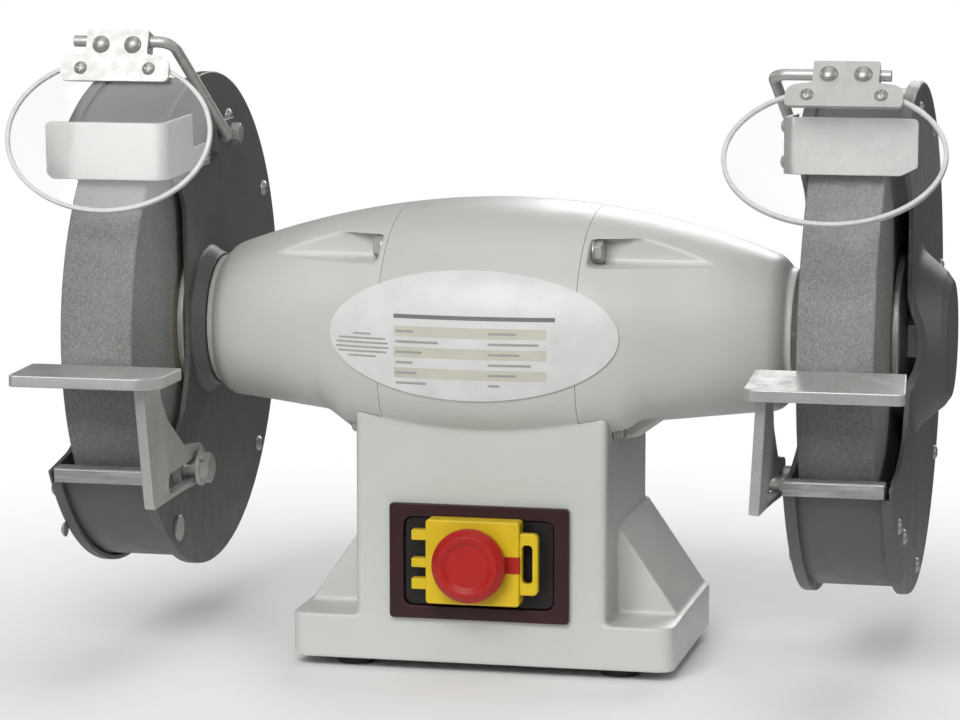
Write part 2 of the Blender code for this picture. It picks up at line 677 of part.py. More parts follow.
def build_rest(end, side, frame, setting):
    """The rest's plate and arm are one welded piece; the clamp bolt carries it on the guard's back plate."""
    pivot = empty_at(f"rest_pivot_{end}", (0.0, *REST_BOLT), frame)
    bolt_y, bolt_z = REST_BOLT

    shank, washer, spacer = 0.0050, 0.0100, 0.0085
    profile = [(0.1550, 0.0), (0.1550, washer), (0.1570, washer), (0.1570, shank), (0.1655, shank),
               (0.1655, spacer), (PLATE_FACE - GAP, spacer), (PLATE_FACE - GAP, shank), (0.1738, shank),
               (0.1738, spacer), (0.1765, spacer), (0.1765, 0.0)]
    bolt = add_part(f"rest_bolt_{end}", turned(f"rest_bolt_{end}", profile, side, 12), "zinc", pivot)
    head = cylinder(f"rest_bolt_head_{end}", "X", 0.0085, *spans(side, 0.1500, 0.1555), segments=6)
    join(bolt, add_tool(f"rest_bolt_head_{end}", head, pivot))

    inside, outside, chamfer = setting["rest_inside"], setting["rest_outside"], setting["rest_chamfer"]
    plate = [(side * inside, REST_BACK), (side * outside, REST_BACK),
             (side * setting["rest_front_outside"], REST_FRONT), (side * (inside + chamfer), REST_FRONT),
             (side * inside, REST_FRONT + chamfer)]
    plate = [(x, y - REST_BACK) for x, y in plate]
    level = -0.0060
    slope = (Matrix.Translation((0.0, REST_BACK - bolt_y, level - bolt_z))
             @ Matrix.Rotation(setting["rest_tilt"], 4, "X"))
    plate_mesh = slab(f"tool_rest_{end}", plate, "Z", -REST_THICKNESS, 0.0)
    plate_mesh.transform(slope)
    rest = add_part(f"tool_rest_{end}", plate_mesh, "rest_steel", pivot)

    arm = rounded([
        (-0.161, -0.0100, 0.0), (-0.150, -0.0790, 0.003), (-0.128, -0.0790, 0.004), (-0.0950, -0.0795, 0.0),
        (-0.0570, -0.0810, 0.009), (-0.0570, -0.0600, 0.009), (-0.091, -0.0560, 0.020),
        (-0.120, -0.0360, 0.020), (-0.1310, -0.0220, 0.006), (-0.1310, -0.0100, 0.0),
    ], 3)
    arm = [(y - bolt_y, z - bolt_z) for y, z in arm]
    arm_outside = setting["arm_outside"]
    hang = Matrix.Translation((side * arm_outside, 0.0, -0.012 - bolt_z))
    splay = hang @ Matrix.Rotation(side * setting["arm_splay"], 4, "Y") @ hang.inverted()
    arm_mesh = slab(f"rest_arm_{end}", arm, "X", *spans(side, arm_outside - ARM_THICKNESS, arm_outside))
    arm_mesh.transform(splay)
    join(rest, add_tool(f"rest_arm_{end}", arm_mesh, pivot))
    slot = rectangle((-0.0500, -0.0056), (0.0115, 0.0056), 0.0056, 3)
    slot_tool = slab(f"rest_slot_{end}", slot, "X", *spans(side, 0.140, 0.175))
    cut(rest, add_tool(f"rest_slot_{end}", slot_tool, pivot))


# ------------------------------------------------------------------ spark arrester


def build_arrester(end, side, frame, setting):
    sheet = 0.0020
    front, outside = ARRESTER_FRONT, setting["arrester_outside"]
    low_edge, high_edge = setting["arrester_heights"]
    outline = rounded([
        (side * outside, front, 0.0), (side * outside, front + sheet, 0.0),
        (side * (ARRESTER_INSIDE + sheet), front + sheet, 0.003),
        (side * (ARRESTER_INSIDE + sheet), ARRESTER_REAR, 0.0), (side * ARRESTER_INSIDE, ARRESTER_REAR, 0.0),
        (side * ARRESTER_INSIDE, front, 0.005),
    ], 4)
    angle = slab(f"spark_arrester_{end}", outline, "Z", low_edge, high_edge)
    arrester = add_part(f"spark_arrester_{end}", angle, "zinc", frame)
    low, high = spans(side, 0.160, 0.170)
    bottom, top = low_edge + 0.0120, high_edge + 0.01
    notch = box(f"arrester_notch_{end}", (low, -0.0460, bottom), (high, 0.0, top))
    cut(arrester, add_tool(f"arrester_notch_{end}", notch, frame))
    slot = rectangle((-0.0275, low_edge + 0.0020), (-0.0215, low_edge + 0.0100), 0.0028)
    cut(arrester, add_tool(f"arrester_slot_{end}",
                           slab(f"arrester_slot_{end}", slot, "X", *spans(side, 0.160, 0.170)), frame))


# ------------------------------------------------------------------ eye shield


def build_shield(end, side, frame, setting):
    clamp_y, clamp_z = CLAMP
    outline = rectangle((clamp_y - 0.010, clamp_z - 0.009), (clamp_y + 0.026, clamp_z + 0.009), 0.004, 3)
    block = slab(f"shield_clamp_{end}", outline, "X", *spans(side, 0.1640, PLATE_FACE - GAP))
    clamp = add_part(f"shield_clamp_{end}", block, "guard_paint", frame)
    bore = cylinder(f"clamp_bore_{end}", "X", ROD_RADIUS + GAP, *spans(side, 0.160, 0.175), CLAMP, 16)
    cut(clamp, add_tool(f"clamp_bore_{end}", bore, frame))
    pinch_place = (clamp_y + 0.019, clamp_z)
    pinch = cylinder(f"clamp_bolt_{end}", "X", 0.0062, *spans(side, 0.1585, 0.1645), pinch_place, 6)
    join(clamp, add_tool(f"clamp_bolt_{end}", pinch, frame))

    rod_pivot = empty_at(f"rod_pivot_{end}", (0.0, clamp_y, clamp_z), frame)
    rise = setting["rod_rise"] + setting["turn"]
    knee = Vector((0.0, -ROD_LENGTH * math.cos(rise), ROD_LENGTH * math.sin(rise)))
    start, elbow = (side * 0.1704, 0.0, 0.0), (side * ROD_PLANE, 0.0, 0.0)
    bend, tip = (side * ROD_PLANE, knee.y, knee.z), (side * setting["rod_tip"], knee.y, knee.z)
    path = bent([start, elbow, bend], 0.004)[:-1] + bent([elbow, bend, tip], 0.008)[1:]
    add_part(f"shield_rod_{end}", tube(f"shield_rod_{end}", path, ROD_RADIUS), "zinc", rod_pivot)

    # In the shield's own frame the rod is at the origin, -Z runs down the lens and -Y is its front.
    shield_pivot = empty_at(f"shield_pivot_{end}", knee, rod_pivot,
                            -setting["shield_tilt"] - setting["turn"])
    middle = side * setting["bracket_middle"]
    strap, bridge = 0.0170, 0.0300
    outline = rounded([
        (middle - strap, 0.0052, 0.0), (middle + strap, 0.0052, 0.0), (middle + strap, -0.0085, 0.0),
        (middle + bridge, -0.0105, 0.006), (middle + bridge, -0.0235, 0.003),
        (middle - bridge, -0.0235, 0.003), (middle - bridge, -0.0105, 0.006), (middle - strap, -0.0085, 0.0),
    ], 3)
    front = slab(f"shield_bracket_{end}", outline, "Y", -0.0054, -0.0034)
    bracket = add_part(f"shield_bracket_{end}", front, "zinc", shield_pivot)
    width = strap - 0.0003
    block = box(f"bracket_block_{end}", (middle - width, -0.0040, -0.0080), (middle + width, 0.0054, 0.0049))
    join(bracket, add_tool(f"bracket_block_{end}", block, shield_pivot))
    channel = cylinder(f"rod_channel_{end}", "X", ROD_RADIUS + GAP, middle - 0.03, middle + 0.03, segments=16)
    cut(bracket, add_tool(f"rod_channel_{end}", channel, shield_pivot))

    oval = ellipse((side * setting["shield_middle"], -SHIELD_DROP), *SHIELD_SEMI_AXES, 36)
    lens = slab(f"eye_shield_{end}", oval, "Y", -0.0034 + GAP, -0.0034 + GAP + SHIELD_THICKNESS)
    add_part(f"eye_shield_{end}", lens, "lens", shield_pivot)


# ------------------------------------------------------------------ base and switch


def build_base():
    inset = CASTING_WALL + 0.001
    plate = rectangle((-0.0965, PEDESTAL_FRONT + inset), (0.0965, PLINTH_BACK - inset), 0.006, 2)
    sheet = slab("bottom_plate", plate, "Z", PLINTH_BOTTOM, PLINTH_BOTTOM + 0.002)
    add_part("bottom_plate", sheet, "dark_steel")
    for side, across in ((-1, "left"), (1, "right")):
        for y, depth in ((FOOT_FRONT, "front"), (FOOT_BACK, "rear")):
            name = f"foot_{depth}_{across}"
            foot = cylinder(name, "Z", FOOT_RADIUS - 0.002, -SPINDLE_HEIGHT, PLINTH_BOTTOM - GAP,
                            (side * FOOT_X, y), 20, FOOT_RADIUS)
            add_part(name, foot, "rubber")
    can = cylinder("run_capacitor", "X", 0.0175, -0.045, 0.030, (0.020, -0.090), 20)
    add_part("run_capacitor", can, "zinc")
    sleeve = cylinder("cable_gland", "Y", 0.0085, 0.0420, 0.0700, GLAND, 16)
    gland = add_part("cable_gland", sleeve, "switch_black")
    flange = cylinder("gland_nut", "Y", 0.0120, PEDESTAL_BACK + 0.0045, 0.0640, GLAND, 6)
    join(gland, add_tool("gland_nut", flange))
    hole = cylinder("gland_bore", "Y", 0.0045, 0.03, 0.08, GLAND, 12)
    cut(gland, add_tool("gland_bore", hole))


def build_switch():
    high = SWITCH_HEIGHT
    face = PEDESTAL_FRONT - GAP
    frame = rectangle((-BEZEL_HALF[0], high - BEZEL_HALF[1]), (BEZEL_HALF[0], high + BEZEL_HALF[1]), 0.002, 2)
    bezel = add_part("switch_bezel", slab("switch_bezel", frame, "Y", face - 0.0035, face), "switch_maroon")
    window = box("bezel_window", (-BEZEL_WINDOW[0], -0.09, high - BEZEL_WINDOW[1]),
                 (BEZEL_WINDOW[0], -0.05, high + BEZEL_WINDOW[1]))
    cut(bezel, add_tool("bezel_window", window))

    body_half = (BEZEL_WINDOW[0] - 0.0005, BEZEL_WINDOW[1] - 0.0005)
    body = add_part("switch_housing", box("switch_housing", (-body_half[0], -0.0715, high - body_half[1]),
                                          (body_half[0], -0.0300, high + body_half[1])), "switch_black")
    for name, x, radius, finish in (("start_button", START_X, 0.0065, "switch_green"),
                                    ("stop_button", STOP_X, 0.0080, "switch_red")):
        well = cylinder(f"{name}_well", "Y", radius + 0.0004, -0.080, -0.056, (x, BUTTON_HEIGHT), 20)
        cut(body, add_tool(f"{name}_well", well))
        guide = empty_at(f"{name}_guide", (x, 0.0, BUTTON_HEIGHT), machine)
        add_part(name, cylinder(name, "Y", radius, -0.0762, -0.0600, segments=20), finish, guide)

    # The lid's own frame has its hinge line at x = 0, y = 0.
    hinge = empty_at("lid_hinge", (LID_HINGE_X, LID_HINGE_Y, BUTTON_HEIGHT), machine)
    left, right = (x - LID_HINGE_X for x in LID_BODY)
    back, front = LID_BACK - LID_HINGE_Y, LID_FRONT - LID_HINGE_Y
    half, wall, skin = LID_HALF_HEIGHT, 0.0020, 0.0025
    lid = add_part("switch_lid", box("switch_lid", (left, front, -half), (right, back, half)),
                   "switch_yellow", hinge)
    low, high = (left + wall, front + skin, wall - half), (right - wall, back + 0.01, half - wall)
    cut(lid, add_tool("lid_hollow", box("lid_hollow", low, high), hinge))
    tabs = ((0.0132, 0.0028), (-0.0020, 0.0025), (-0.0135, 0.0030))
    for i, (centre, half_tab) in enumerate(tabs):
        low, high = (-0.0036, -0.0036, centre - half_tab), (left + 0.001, back, centre + half_tab)
        join(lid, add_tool(f"lid_tab_{i}", box(f"lid_tab_{i}", low, high), hinge))
    loop_end = right + 0.0098
    loop = rectangle((right - 0.002, -0.0168), (loop_end, 0.0168), 0.003, 3)
    join(lid, add_tool("lid_loop", slab("lid_loop", loop, "Y", front + 0.002, front + 0.007), hinge))
    eye = rectangle((right + 0.0008, -0.0125), (loop_end - 0.0025, 0.0125), 0.0025, 3)
    cut(lid, add_tool("lid_loop_eye", slab("lid_loop_eye", eye, "Y", front - 0.01, back + 0.02), hinge))
    stem_hole = cylinder("stem_hole", "Y", 0.0066, -0.03, 0.03, (STOP_X - LID_HINGE_X, 0.0), 20)
    cut(lid, add_tool("stem_hole", stem_hole, hinge))

    guide = empty_at("mushroom_guide", (STOP_X - LID_HINGE_X, 0.0, 0.0), hinge)
    cap_back = front - BUTTON_TRAVEL - 0.0007
    profile = [(0.0, 0.0062), (cap_back, 0.0062), (cap_back, MUSHROOM_RADIUS - 0.001),
               (cap_back - 0.0015, MUSHROOM_RADIUS), (cap_back - 0.0060, MUSHROOM_RADIUS),
               (cap_back - 0.0095, MUSHROOM_RADIUS - 0.0035), (cap_back - 0.0095, MUSHROOM_RADIUS - 0.0055),
               (cap_back - 0.0075, 0.0), (0.0, 0.0)]
    mushroom = turned("stop_mushroom", profile, 1, 24)
    mushroom.transform(Matrix.Rotation(math.radians(90), 4, "Z"))
    add_part("stop_mushroom", mushroom, "switch_red", guide)


# ------------------------------------------------------------------ assembly

build_casting()
build_nameplate()
build_motor()
build_base()
build_switch()
for end_name, end_setting in ENDS.items():
    end_side = end_setting["side"]
    guard_frame = empty_at(f"guard_frame_{end_name}", (0, 0, 0), machine, end_setting["turn"])
    build_bell(end_name, end_side)
    build_bell_bolts(end_name, end_side)
    build_wheel(end_name, end_side)
    build_guard(end_name, end_side, guard_frame)
    build_rest(end_name, end_side, guard_frame, end_setting)
    build_arrester(end_name, end_side, guard_frame, end_setting)
    build_shield(end_name, end_side, guard_frame, end_setting)
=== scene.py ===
"""The looks of a double-ended bench grinder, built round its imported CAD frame.

Metres, in the frame's own axes: +X to the operator's right, -Y towards the operator, +Z up. Sizes that are
named below count from the middle of the spindle unless they say otherwise.
"""

import json
import math

import bmesh
import bpy
from mathutils import Matrix, Vector


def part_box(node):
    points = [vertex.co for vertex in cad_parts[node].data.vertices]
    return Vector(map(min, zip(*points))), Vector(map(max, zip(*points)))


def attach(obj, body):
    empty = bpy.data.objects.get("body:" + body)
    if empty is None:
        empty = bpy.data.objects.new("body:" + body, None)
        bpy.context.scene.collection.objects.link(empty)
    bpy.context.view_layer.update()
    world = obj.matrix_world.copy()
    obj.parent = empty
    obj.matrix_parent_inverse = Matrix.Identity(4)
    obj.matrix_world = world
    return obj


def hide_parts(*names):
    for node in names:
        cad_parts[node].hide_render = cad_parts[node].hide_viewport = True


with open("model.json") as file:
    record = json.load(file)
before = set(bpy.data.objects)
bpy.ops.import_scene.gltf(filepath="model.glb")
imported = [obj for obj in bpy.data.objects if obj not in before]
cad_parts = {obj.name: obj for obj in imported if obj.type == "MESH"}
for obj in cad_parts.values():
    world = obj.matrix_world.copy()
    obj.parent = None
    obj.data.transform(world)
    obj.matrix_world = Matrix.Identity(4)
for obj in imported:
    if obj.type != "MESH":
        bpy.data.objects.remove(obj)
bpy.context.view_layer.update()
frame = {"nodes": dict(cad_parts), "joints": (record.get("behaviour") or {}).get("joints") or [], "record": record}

# ---- places read from the frame

JOINTS = {joint["name"]: joint for joint in frame["joints"]}


def middle_of(node):
    low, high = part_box(node)
    return (low + high) / 2


CENTRE = middle_of("spindle")
TO_WORLD = Matrix.Translation(CENTRE)
ENDS = {"left": -1, "right": 1}
SHIELD_TILT = {"left": math.radians(20.6), "right": math.radians(40.2)}
REST_TILT = {"left": math.radians(-2.0), "right": math.radians(7.0)}


def turn_of(end):
    """How far this end's guard is turned on the spindle."""
    _, along_y, along_z = JOINTS[f"rest_slide_{end}"]["axis"]
    return math.atan2(along_z, along_y)


GUARD = {end: TO_WORLD @ Matrix.Rotation(turn_of(end), 4, "X") for end in ENDS}


def place_of(joint, angle):
    """A joint's place, over the middle of the machine, as a frame turned about X."""
    _, y, z = JOINTS[joint]["pos_m"]
    return Matrix.Translation((CENTRE.x, y, z)) @ Matrix.Rotation(angle, 4, "X")


REST = {end: place_of(f"rest_tilt_{end}", turn_of(end)) for end in ENDS}
ROD = {end: place_of(f"rod_swing_{end}", 0.0) for end in ENDS}
SHIELD = {end: place_of(f"shield_tilt_{end}", -SHIELD_TILT[end]) for end in ENDS}

# ---- camera


def add_object(name, data):
    made = bpy.data.objects.new(name, data)
    bpy.context.scene.collection.objects.link(made)
    return made


CAMERA_OFFSET = Vector((0.4158, -1.9361, 0.2591))
CAMERA_BACK = Vector((0.2153, -0.96659, 0.1391))

camera = add_object("camera", bpy.data.cameras.new("camera"))
camera.data.lens = 135.0
camera.data.sensor_width = 36.0
camera.location = CENTRE + CAMERA_OFFSET
camera.rotation_euler = CAMERA_BACK.to_track_quat("Z", "Y").to_euler()
bpy.context.scene.camera = camera

# ---- shape makers

AXIS_TURNS = {
    "X": Matrix(((0, 0, 1), (1, 0, 0), (0, 1, 0))).to_4x4(),
    "Y": Matrix(((1, 0, 0), (0, 0, -1), (0, 1, 0))).to_4x4(),
    "Z": Matrix.Identity(4),
}
GAP = 0.0003


def mesh_of(bm, name):
    mesh = bpy.data.meshes.new(name)
    bm.to_mesh(mesh)
    bm.free()
    return mesh


def mesh_from(name, build):
    """A mesh that build(bm) fills in, with its faces turned outwards."""
    bm = bmesh.new()
    build(bm)
    bmesh.ops.recalc_face_normals(bm, faces=bm.faces)
    return mesh_of(bm, name)


def box(low, high):
    size = Vector(high) - Vector(low)
    middle = (Vector(high) + Vector(low)) / 2

    def build(bm):
        bmesh.ops.create_cube(bm, size=1.0)
        bmesh.ops.scale(bm, vec=size, verts=bm.verts)
        bmesh.ops.translate(bm, vec=middle, verts=bm.verts)

    return mesh_from("box", build)


def spans(side, inside, outside):
    """The low and high ends of a stretch that is given by its distances from the middle."""
    return tuple(sorted((side * inside, side * outside)))


def cylinder(axis, radius, low, high, centre=(0.0, 0.0), segments=48):
    if axis == "Y":
        low, high = -high, -low

    def build(bm):
        bmesh.ops.create_cone(bm, cap_ends=True, segments=segments, radius1=radius, radius2=radius,
            depth=high - low)
        place = AXIS_TURNS[axis] @ Matrix.Translation((centre[0], centre[1], (low + high) / 2))
        bmesh.ops.transform(bm, matrix=place, verts=bm.verts)

    return mesh_from("cylinder", build)


def settle(holder, axis="Z", lift=0.0):
    """The final mesh of a temporary object, closed, facing outwards and with its Z turned onto the axis."""
    final = holder.evaluated_get(bpy.context.evaluated_depsgraph_get())
    mesh = bpy.data.meshes.new_from_object(final)
    bm = bmesh.new()
    bm.from_mesh(mesh)
    bmesh.ops.remove_doubles(bm, verts=bm.verts, dist=1e-6)
    bmesh.ops.transform(bm, matrix=AXIS_TURNS[axis] @ Matrix.Translation((0.0, 0.0, lift)), verts=bm.verts)
    bmesh.ops.recalc_face_normals(bm, faces=bm.faces)
    bm.to_mesh(mesh)
    bm.free()
    bpy.data.objects.remove(holder, do_unlink=True)
    return mesh


def slab(outline, axis, low, high):
    """A flat outline drawn out along an axis: (y, z) along X, (x, z) along Y, (x, y) along Z."""
    if axis == "Y":
        low, high = -high, -low

    def build(bm):
        ends = [[bm.verts.new((u, v, level)) for u, v in outline] for level in (low, high)]
        for ring in ends:
            bm.faces.new(ring)
        for i in range(len(outline)):
            j = (i + 1) % len(outline)
            bm.faces.new((ends[0][i], ends[0][j], ends[1][j], ends[1][i]))
        bmesh.ops.transform(bm, matrix=AXIS_TURNS[axis], verts=bm.verts)

    return mesh_from("slab", build)


def rounded(corners, steps=8):
    """An outline whose corners (u, v, radius) are rounded where the radius isn't 0."""
    outline = []
    for i, (u, v, radius) in enumerate(corners):
        corner = Vector((u, v))
        before = Vector(corners[i - 1][:2]) - corner
        after = Vector(corners[(i + 1) % len(corners)][:2]) - corner
        if radius == 0.0:
            outline.append((u, v))
            continue
        half = before.angle(after) / 2
        reach = radius / math.tan(half)
        heart = corner + (before.normalized() + after.normalized()).normalized() * radius / math.sin(half)
        start = corner + before.normalized() * reach - heart
        end = corner + after.normalized() * reach - heart
        sweep = start.angle_signed(end)
        for k in range(steps + 1):
            spoke = start.copy()
            spoke.rotate(Matrix.Rotation(-sweep * k / steps, 2))
            outline.append(tuple(heart + spoke))
    return outline


def rectangle(low, high, radius=0.0, steps=8):
    return rounded([(low[0], low[1], radius), (high[0], low[1], radius), (high[0], high[1], radius),
        (low[0], high[1], radius)], steps)


def centred(half, low, high, radius):
    """A rounded rectangle that reaches half its width to either side."""
    return rectangle((-half, low), (half, high), radius)


def mirrored(side, corners):
    """Corners given by their distances from the middle, on one side of it."""
    return [(side * across, v, radius) for across, v, radius in corners]


def ellipse(centre, semi_u, semi_v, count):
    angles = [2 * math.pi * k / count for k in range(count)]
    return [(centre[0] + semi_u * math.cos(a), centre[1] + semi_v * math.sin(a)) for a in angles]


def turned(profile, side=1, segments=128, axis="X"):
    """A closed outline of (distance along the axis, radius) turned about it, mirrored where side is -1."""
    pairs = list(zip(profile, profile[1:] + profile[:1]))
    clockwise = sum(r0 * x1 - r1 * x0 for (x0, r0), (x1, r1) in pairs) < 0
    outline = profile if clockwise else profile[::-1]
    count = len(outline)
    edges = [(i, (i + 1) % count) for i in range(count) if outline[i][1] or outline[(i + 1) % count][1]]
    section = bpy.data.meshes.new("section")
    section.from_pydata([(r, 0.0, x) for x, r in outline], edges, [])
    holder = add_object("turned", section)
    turn = holder.modifiers.new("turn", "SCREW")
    turn.axis = "Z"
    turn.steps = turn.render_steps = segments
    turn.use_merge_vertices = True
    turn.merge_threshold = 1e-5
    mesh = settle(holder, axis)
    if side < 0:
        mesh.transform(Matrix.Rotation(math.pi, 4, "Z"))
    return mesh


def bent(corners, radius, steps=10):
    """A path through 3-D corners, with each inner corner bent to an arc."""
    points = [Vector(corners[0])]
    for before, here, after in zip(corners, corners[1:], corners[2:]):
        here = Vector(here)
        back = (Vector(before) - here).normalized()
        ahead = (Vector(after) - here).normalized()
        half = back.angle(ahead) / 2
        reach = radius / math.tan(half)
        heart = here + (back + ahead).normalized() * radius / math.sin(half)
        start = here + back * reach - heart
        end = here + ahead * reach - heart
        axis = start.cross(end).normalized()
        for k in range(steps + 1):
            spoke = start.copy()
            spoke.rotate(Matrix.Rotation(start.angle(end) * k / steps, 3, axis))
            points.append(heart + spoke)
    points.append(Vector(corners[-1]))
    return points


def tube(points, radius):
    curve = bpy.data.curves.new("tube", "CURVE")
    curve.dimensions = "3D"
    curve.bevel_depth = radius
    curve.bevel_resolution = 8
    curve.use_fill_caps = True
    spline = curve.splines.new("POLY")
    spline.points.add(len(points) - 1)
    for point, place in zip(spline.points, points):
        point.co = (*place, 1.0)
    return settle(add_object("tube", curve))


def add_boolean(holder, operation, mesh, tools):
    tool = add_object("tool", mesh)
    tools.append(tool)
    step = holder.modifiers.new("boolean", "BOOLEAN")
    step.operation = operation
    step.solver = "EXACT"
    step.object = tool


def add_bevel(holder, width, segments=3):
    step = holder.modifiers.new("edges", "BEVEL")
    step.width = width
    step.segments = segments
    step.limit_method = "ANGLE"
    step.angle_limit = math.radians(38)


def finished(holder, tools):
    made = settle(holder)
    for tool in tools:
        bpy.data.objects.remove(tool, do_unlink=True)
    return made


def shaped(mesh, joins=(), cuts=(), meets=(), bevel=0.0):
    """The mesh joined with, cut by and kept inside of others, with its sharp edges rounded at the end."""
    holder, tools = add_object("shaped", mesh), []
    for operation, group in (("UNION", joins), ("DIFFERENCE", cuts), ("INTERSECT", meets)):
        for other in group:
            add_boolean(holder, operation, other, tools)
    if bevel:
        add_bevel(holder, bevel)
    return finished(holder, tools)


def cast(mesh, joins, cuts, trims, voxel=0.0012, smoothing=6, keep=0.35):
    """As shaped, but with the soft edges and fillets of a casting; trims cut it crisply at the end."""
    holder, tools = add_object("cast", mesh), []
    for operation, group in (("UNION", joins), ("DIFFERENCE", cuts)):
        for other in group:
            add_boolean(holder, operation, other, tools)
    step = holder.modifiers.new("skin", "REMESH")
    step.mode = "VOXEL"
    step.voxel_size = voxel
    step = holder.modifiers.new("soften", "SMOOTH")
    step.factor = 0.5
    step.iterations = smoothing
    step = holder.modifiers.new("lighten", "DECIMATE")
    step.ratio = keep
    for other in trims:
        add_boolean(holder, "DIFFERENCE", other, tools)
    return finished(holder, tools)


# ---- materials


class Finish:
    """A Principled material under construction, with short names for the nodes that these finishes use."""

    def __init__(self, name, metallic=0.0, roughness=0.5):
        self.material = bpy.data.materials.new(name)
        self.material.use_nodes = True
        self.tree = self.material.node_tree
        self.shader = self.tree.nodes["Principled BSDF"]
        self.shader.inputs["Metallic"].default_value = metallic
        self.shader.inputs["Roughness"].default_value = roughness
        self.place = self.tree.nodes.new("ShaderNodeTexCoord").outputs["Object"]

    def link(self, source, target):
        self.tree.links.new(source, target)

    def stretch(self, scale):
        node = self.tree.nodes.new("ShaderNodeMapping")
        node.inputs["Scale"].default_value = scale
        self.link(self.place, node.inputs["Vector"])
        return node.outputs["Vector"]

    def noise(self, scale, detail=3.0, roughness=0.5, place=None):
        node = self.tree.nodes.new("ShaderNodeTexNoise")
        node.inputs["Scale"].default_value = scale
        node.inputs["Detail"].default_value = detail
        node.inputs["Roughness"].default_value = roughness
        self.link(place or self.place, node.inputs["Vector"])
        return node.outputs["Fac"]

    def cells(self, scale):
        node = self.tree.nodes.new("ShaderNodeTexVoronoi")
        node.inputs["Scale"].default_value = scale
        self.link(self.place, node.inputs["Vector"])
        return node.outputs["Color"]

    def ramp(self, source, stops):
        """Colours, or greys given as single numbers, at places along a source that runs from 0 to 1."""
        node = self.tree.nodes.new("ShaderNodeValToRGB")
        elements = node.color_ramp.elements
        while len(elements) < len(stops):
            elements.new(0.5)
        for element, (position, colour) in zip(elements, stops):
            element.position = position
            level = (colour,) * 3 if isinstance(colour, float) else colour
            element.color = (*level, 1.0)
        self.link(source, node.inputs["Fac"])
        return node.outputs["Color"]

    def mix(self, share, first, second):
        """A mix of two colours by a share; each of the three is a source or a constant."""
        node = self.tree.nodes.new("ShaderNodeMix")
        node.data_type = "RGBA"
        for socket, value in ((node.inputs[0], share), (node.inputs[6], first), (node.inputs[7], second)):
            if isinstance(value, bpy.types.NodeSocket):
                self.link(value, socket)
            else:
                socket.default_value = (*value, 1.0) if isinstance(value, tuple) else value
        return node.outputs[2]

    def wear_and_edge_highlight(self, colour, edge_colour, low=0.52, high=0.62):
        """The colour, turning to the edge colour where the surface is most convex: partly edge wear, partly a
        painted highlight along the edges.
        """
        geometry = self.tree.nodes.new("ShaderNodeNewGeometry")
        share = self.ramp(geometry.outputs["Pointiness"], [(low, 0.0), (high, 1.0)])
        return self.mix(share, colour, edge_colour)

    def colour(self, source):
        self.link(source, self.shader.inputs["Base Color"])

    def roughness(self, source, low, high):
        self.link(self.ramp(source, [(0.3, low), (0.7, high)]), self.shader.inputs["Roughness"])

    def bumps(self, *layers):
        """Bump layers of (height source, depth in metres), one over the other."""
        normal = None
        for height, depth in layers:
            node = self.tree.nodes.new("ShaderNodeBump")
            node.inputs["Strength"].default_value = 1.0
            node.inputs["Distance"].default_value = depth
            self.link(height, node.inputs["Height"])
            if normal:
                self.link(normal, node.inputs["Normal"])
            normal = node.outputs["Normal"]
        self.link(normal, self.shader.inputs["Normal"])


def surface(name, dark, light, grain, gloss, bumps=(), edge=None, at=(0.3, 0.7), metallic=0.0, sockets=()):
    """A finish that a grain mottles between two colours, with a third along its most convex edges, standing partly
    for edge wear and partly for a painted edge highlight.

    The grain is a noise's (scale, detail, roughness) and then, where it runs one way, its stretch. Gloss
    is a noise's (scale, detail) and the roughness it runs between. Each bump is a noise's (scale, detail)
    and its depth in metres, or only a depth, for the grain itself.
    """
    finish = Finish(name, metallic)
    mottle = finish.noise(*grain[:3], *(finish.stretch(stretch) for stretch in grain[3:]))
    tone = finish.ramp(mottle, [(at[0], dark), (at[1], light)])
    # The edge colour along convex edges is partly wear and partly a painted highlight.
    finish.colour(finish.wear_and_edge_highlight(tone, edge) if edge else tone)
    finish.roughness(finish.noise(*gloss[:2]), *gloss[2:])
    if bumps:
        finish.bumps(*((finish.noise(*bump[:-1]) if bump[:-1] else mottle, bump[-1]) for bump in bumps))
    for socket, value in sockets:
        finish.shader.inputs[socket].default_value = value
    return finish.material


def moulded(name, colour, low, high):
    """Moulded plastic: a faint mottle and a fine spark-eroded grain."""
    return surface(name, tuple(0.88 * level for level in colour), colour, (50.0, 3.0),
        (160.0, 3.0, low, high), [(1500.0, 2.0, 0.00004)], sockets=[("Specular IOR Level", 0.35)])


def zinc(name="zinc", base=(0.6, 0.6, 0.58), low=0.42, high=0.55):
    """Zinc plating, with its faint spangle."""
    finish = Finish(name, metallic=0.6)
    darker = tuple(0.93 * level for level in base)
    finish.colour(finish.ramp(finish.cells(160.0), [(0.2, darker), (0.8, base)]))
    finish.roughness(finish.noise(220.0, 4.0), low, high)
    finish.bumps((finish.noise(700.0, 3.0), 0.00003))
    return finish.material


def abrasive():
    """Bonded grit: single grains, over patches where the wheel wears unevenly."""
    finish = Finish("abrasive", roughness=0.95)
    grains = finish.cells(1300.0)
    tone = finish.ramp(grains, [(0.1, (0.15, 0.15, 0.145)), (0.5, (0.27, 0.27, 0.26)),
        (0.95, (0.42, 0.42, 0.41))])
    patches = finish.ramp(finish.noise(26.0, 5.0), [(0.35, (0.22, 0.22, 0.21)), (0.65, (0.31, 0.31, 0.3))])
    finish.colour(finish.mix(0.5, tone, patches))
    finish.bumps((grains, 0.00025), (finish.noise(420.0, 5.0, 0.7), 0.0004))
    return finish.material


FLOOR_ALBEDO, FLOOR_RADIUS, FLOOR_FADE = 0.93, 1.6, (0.12, 0.7)


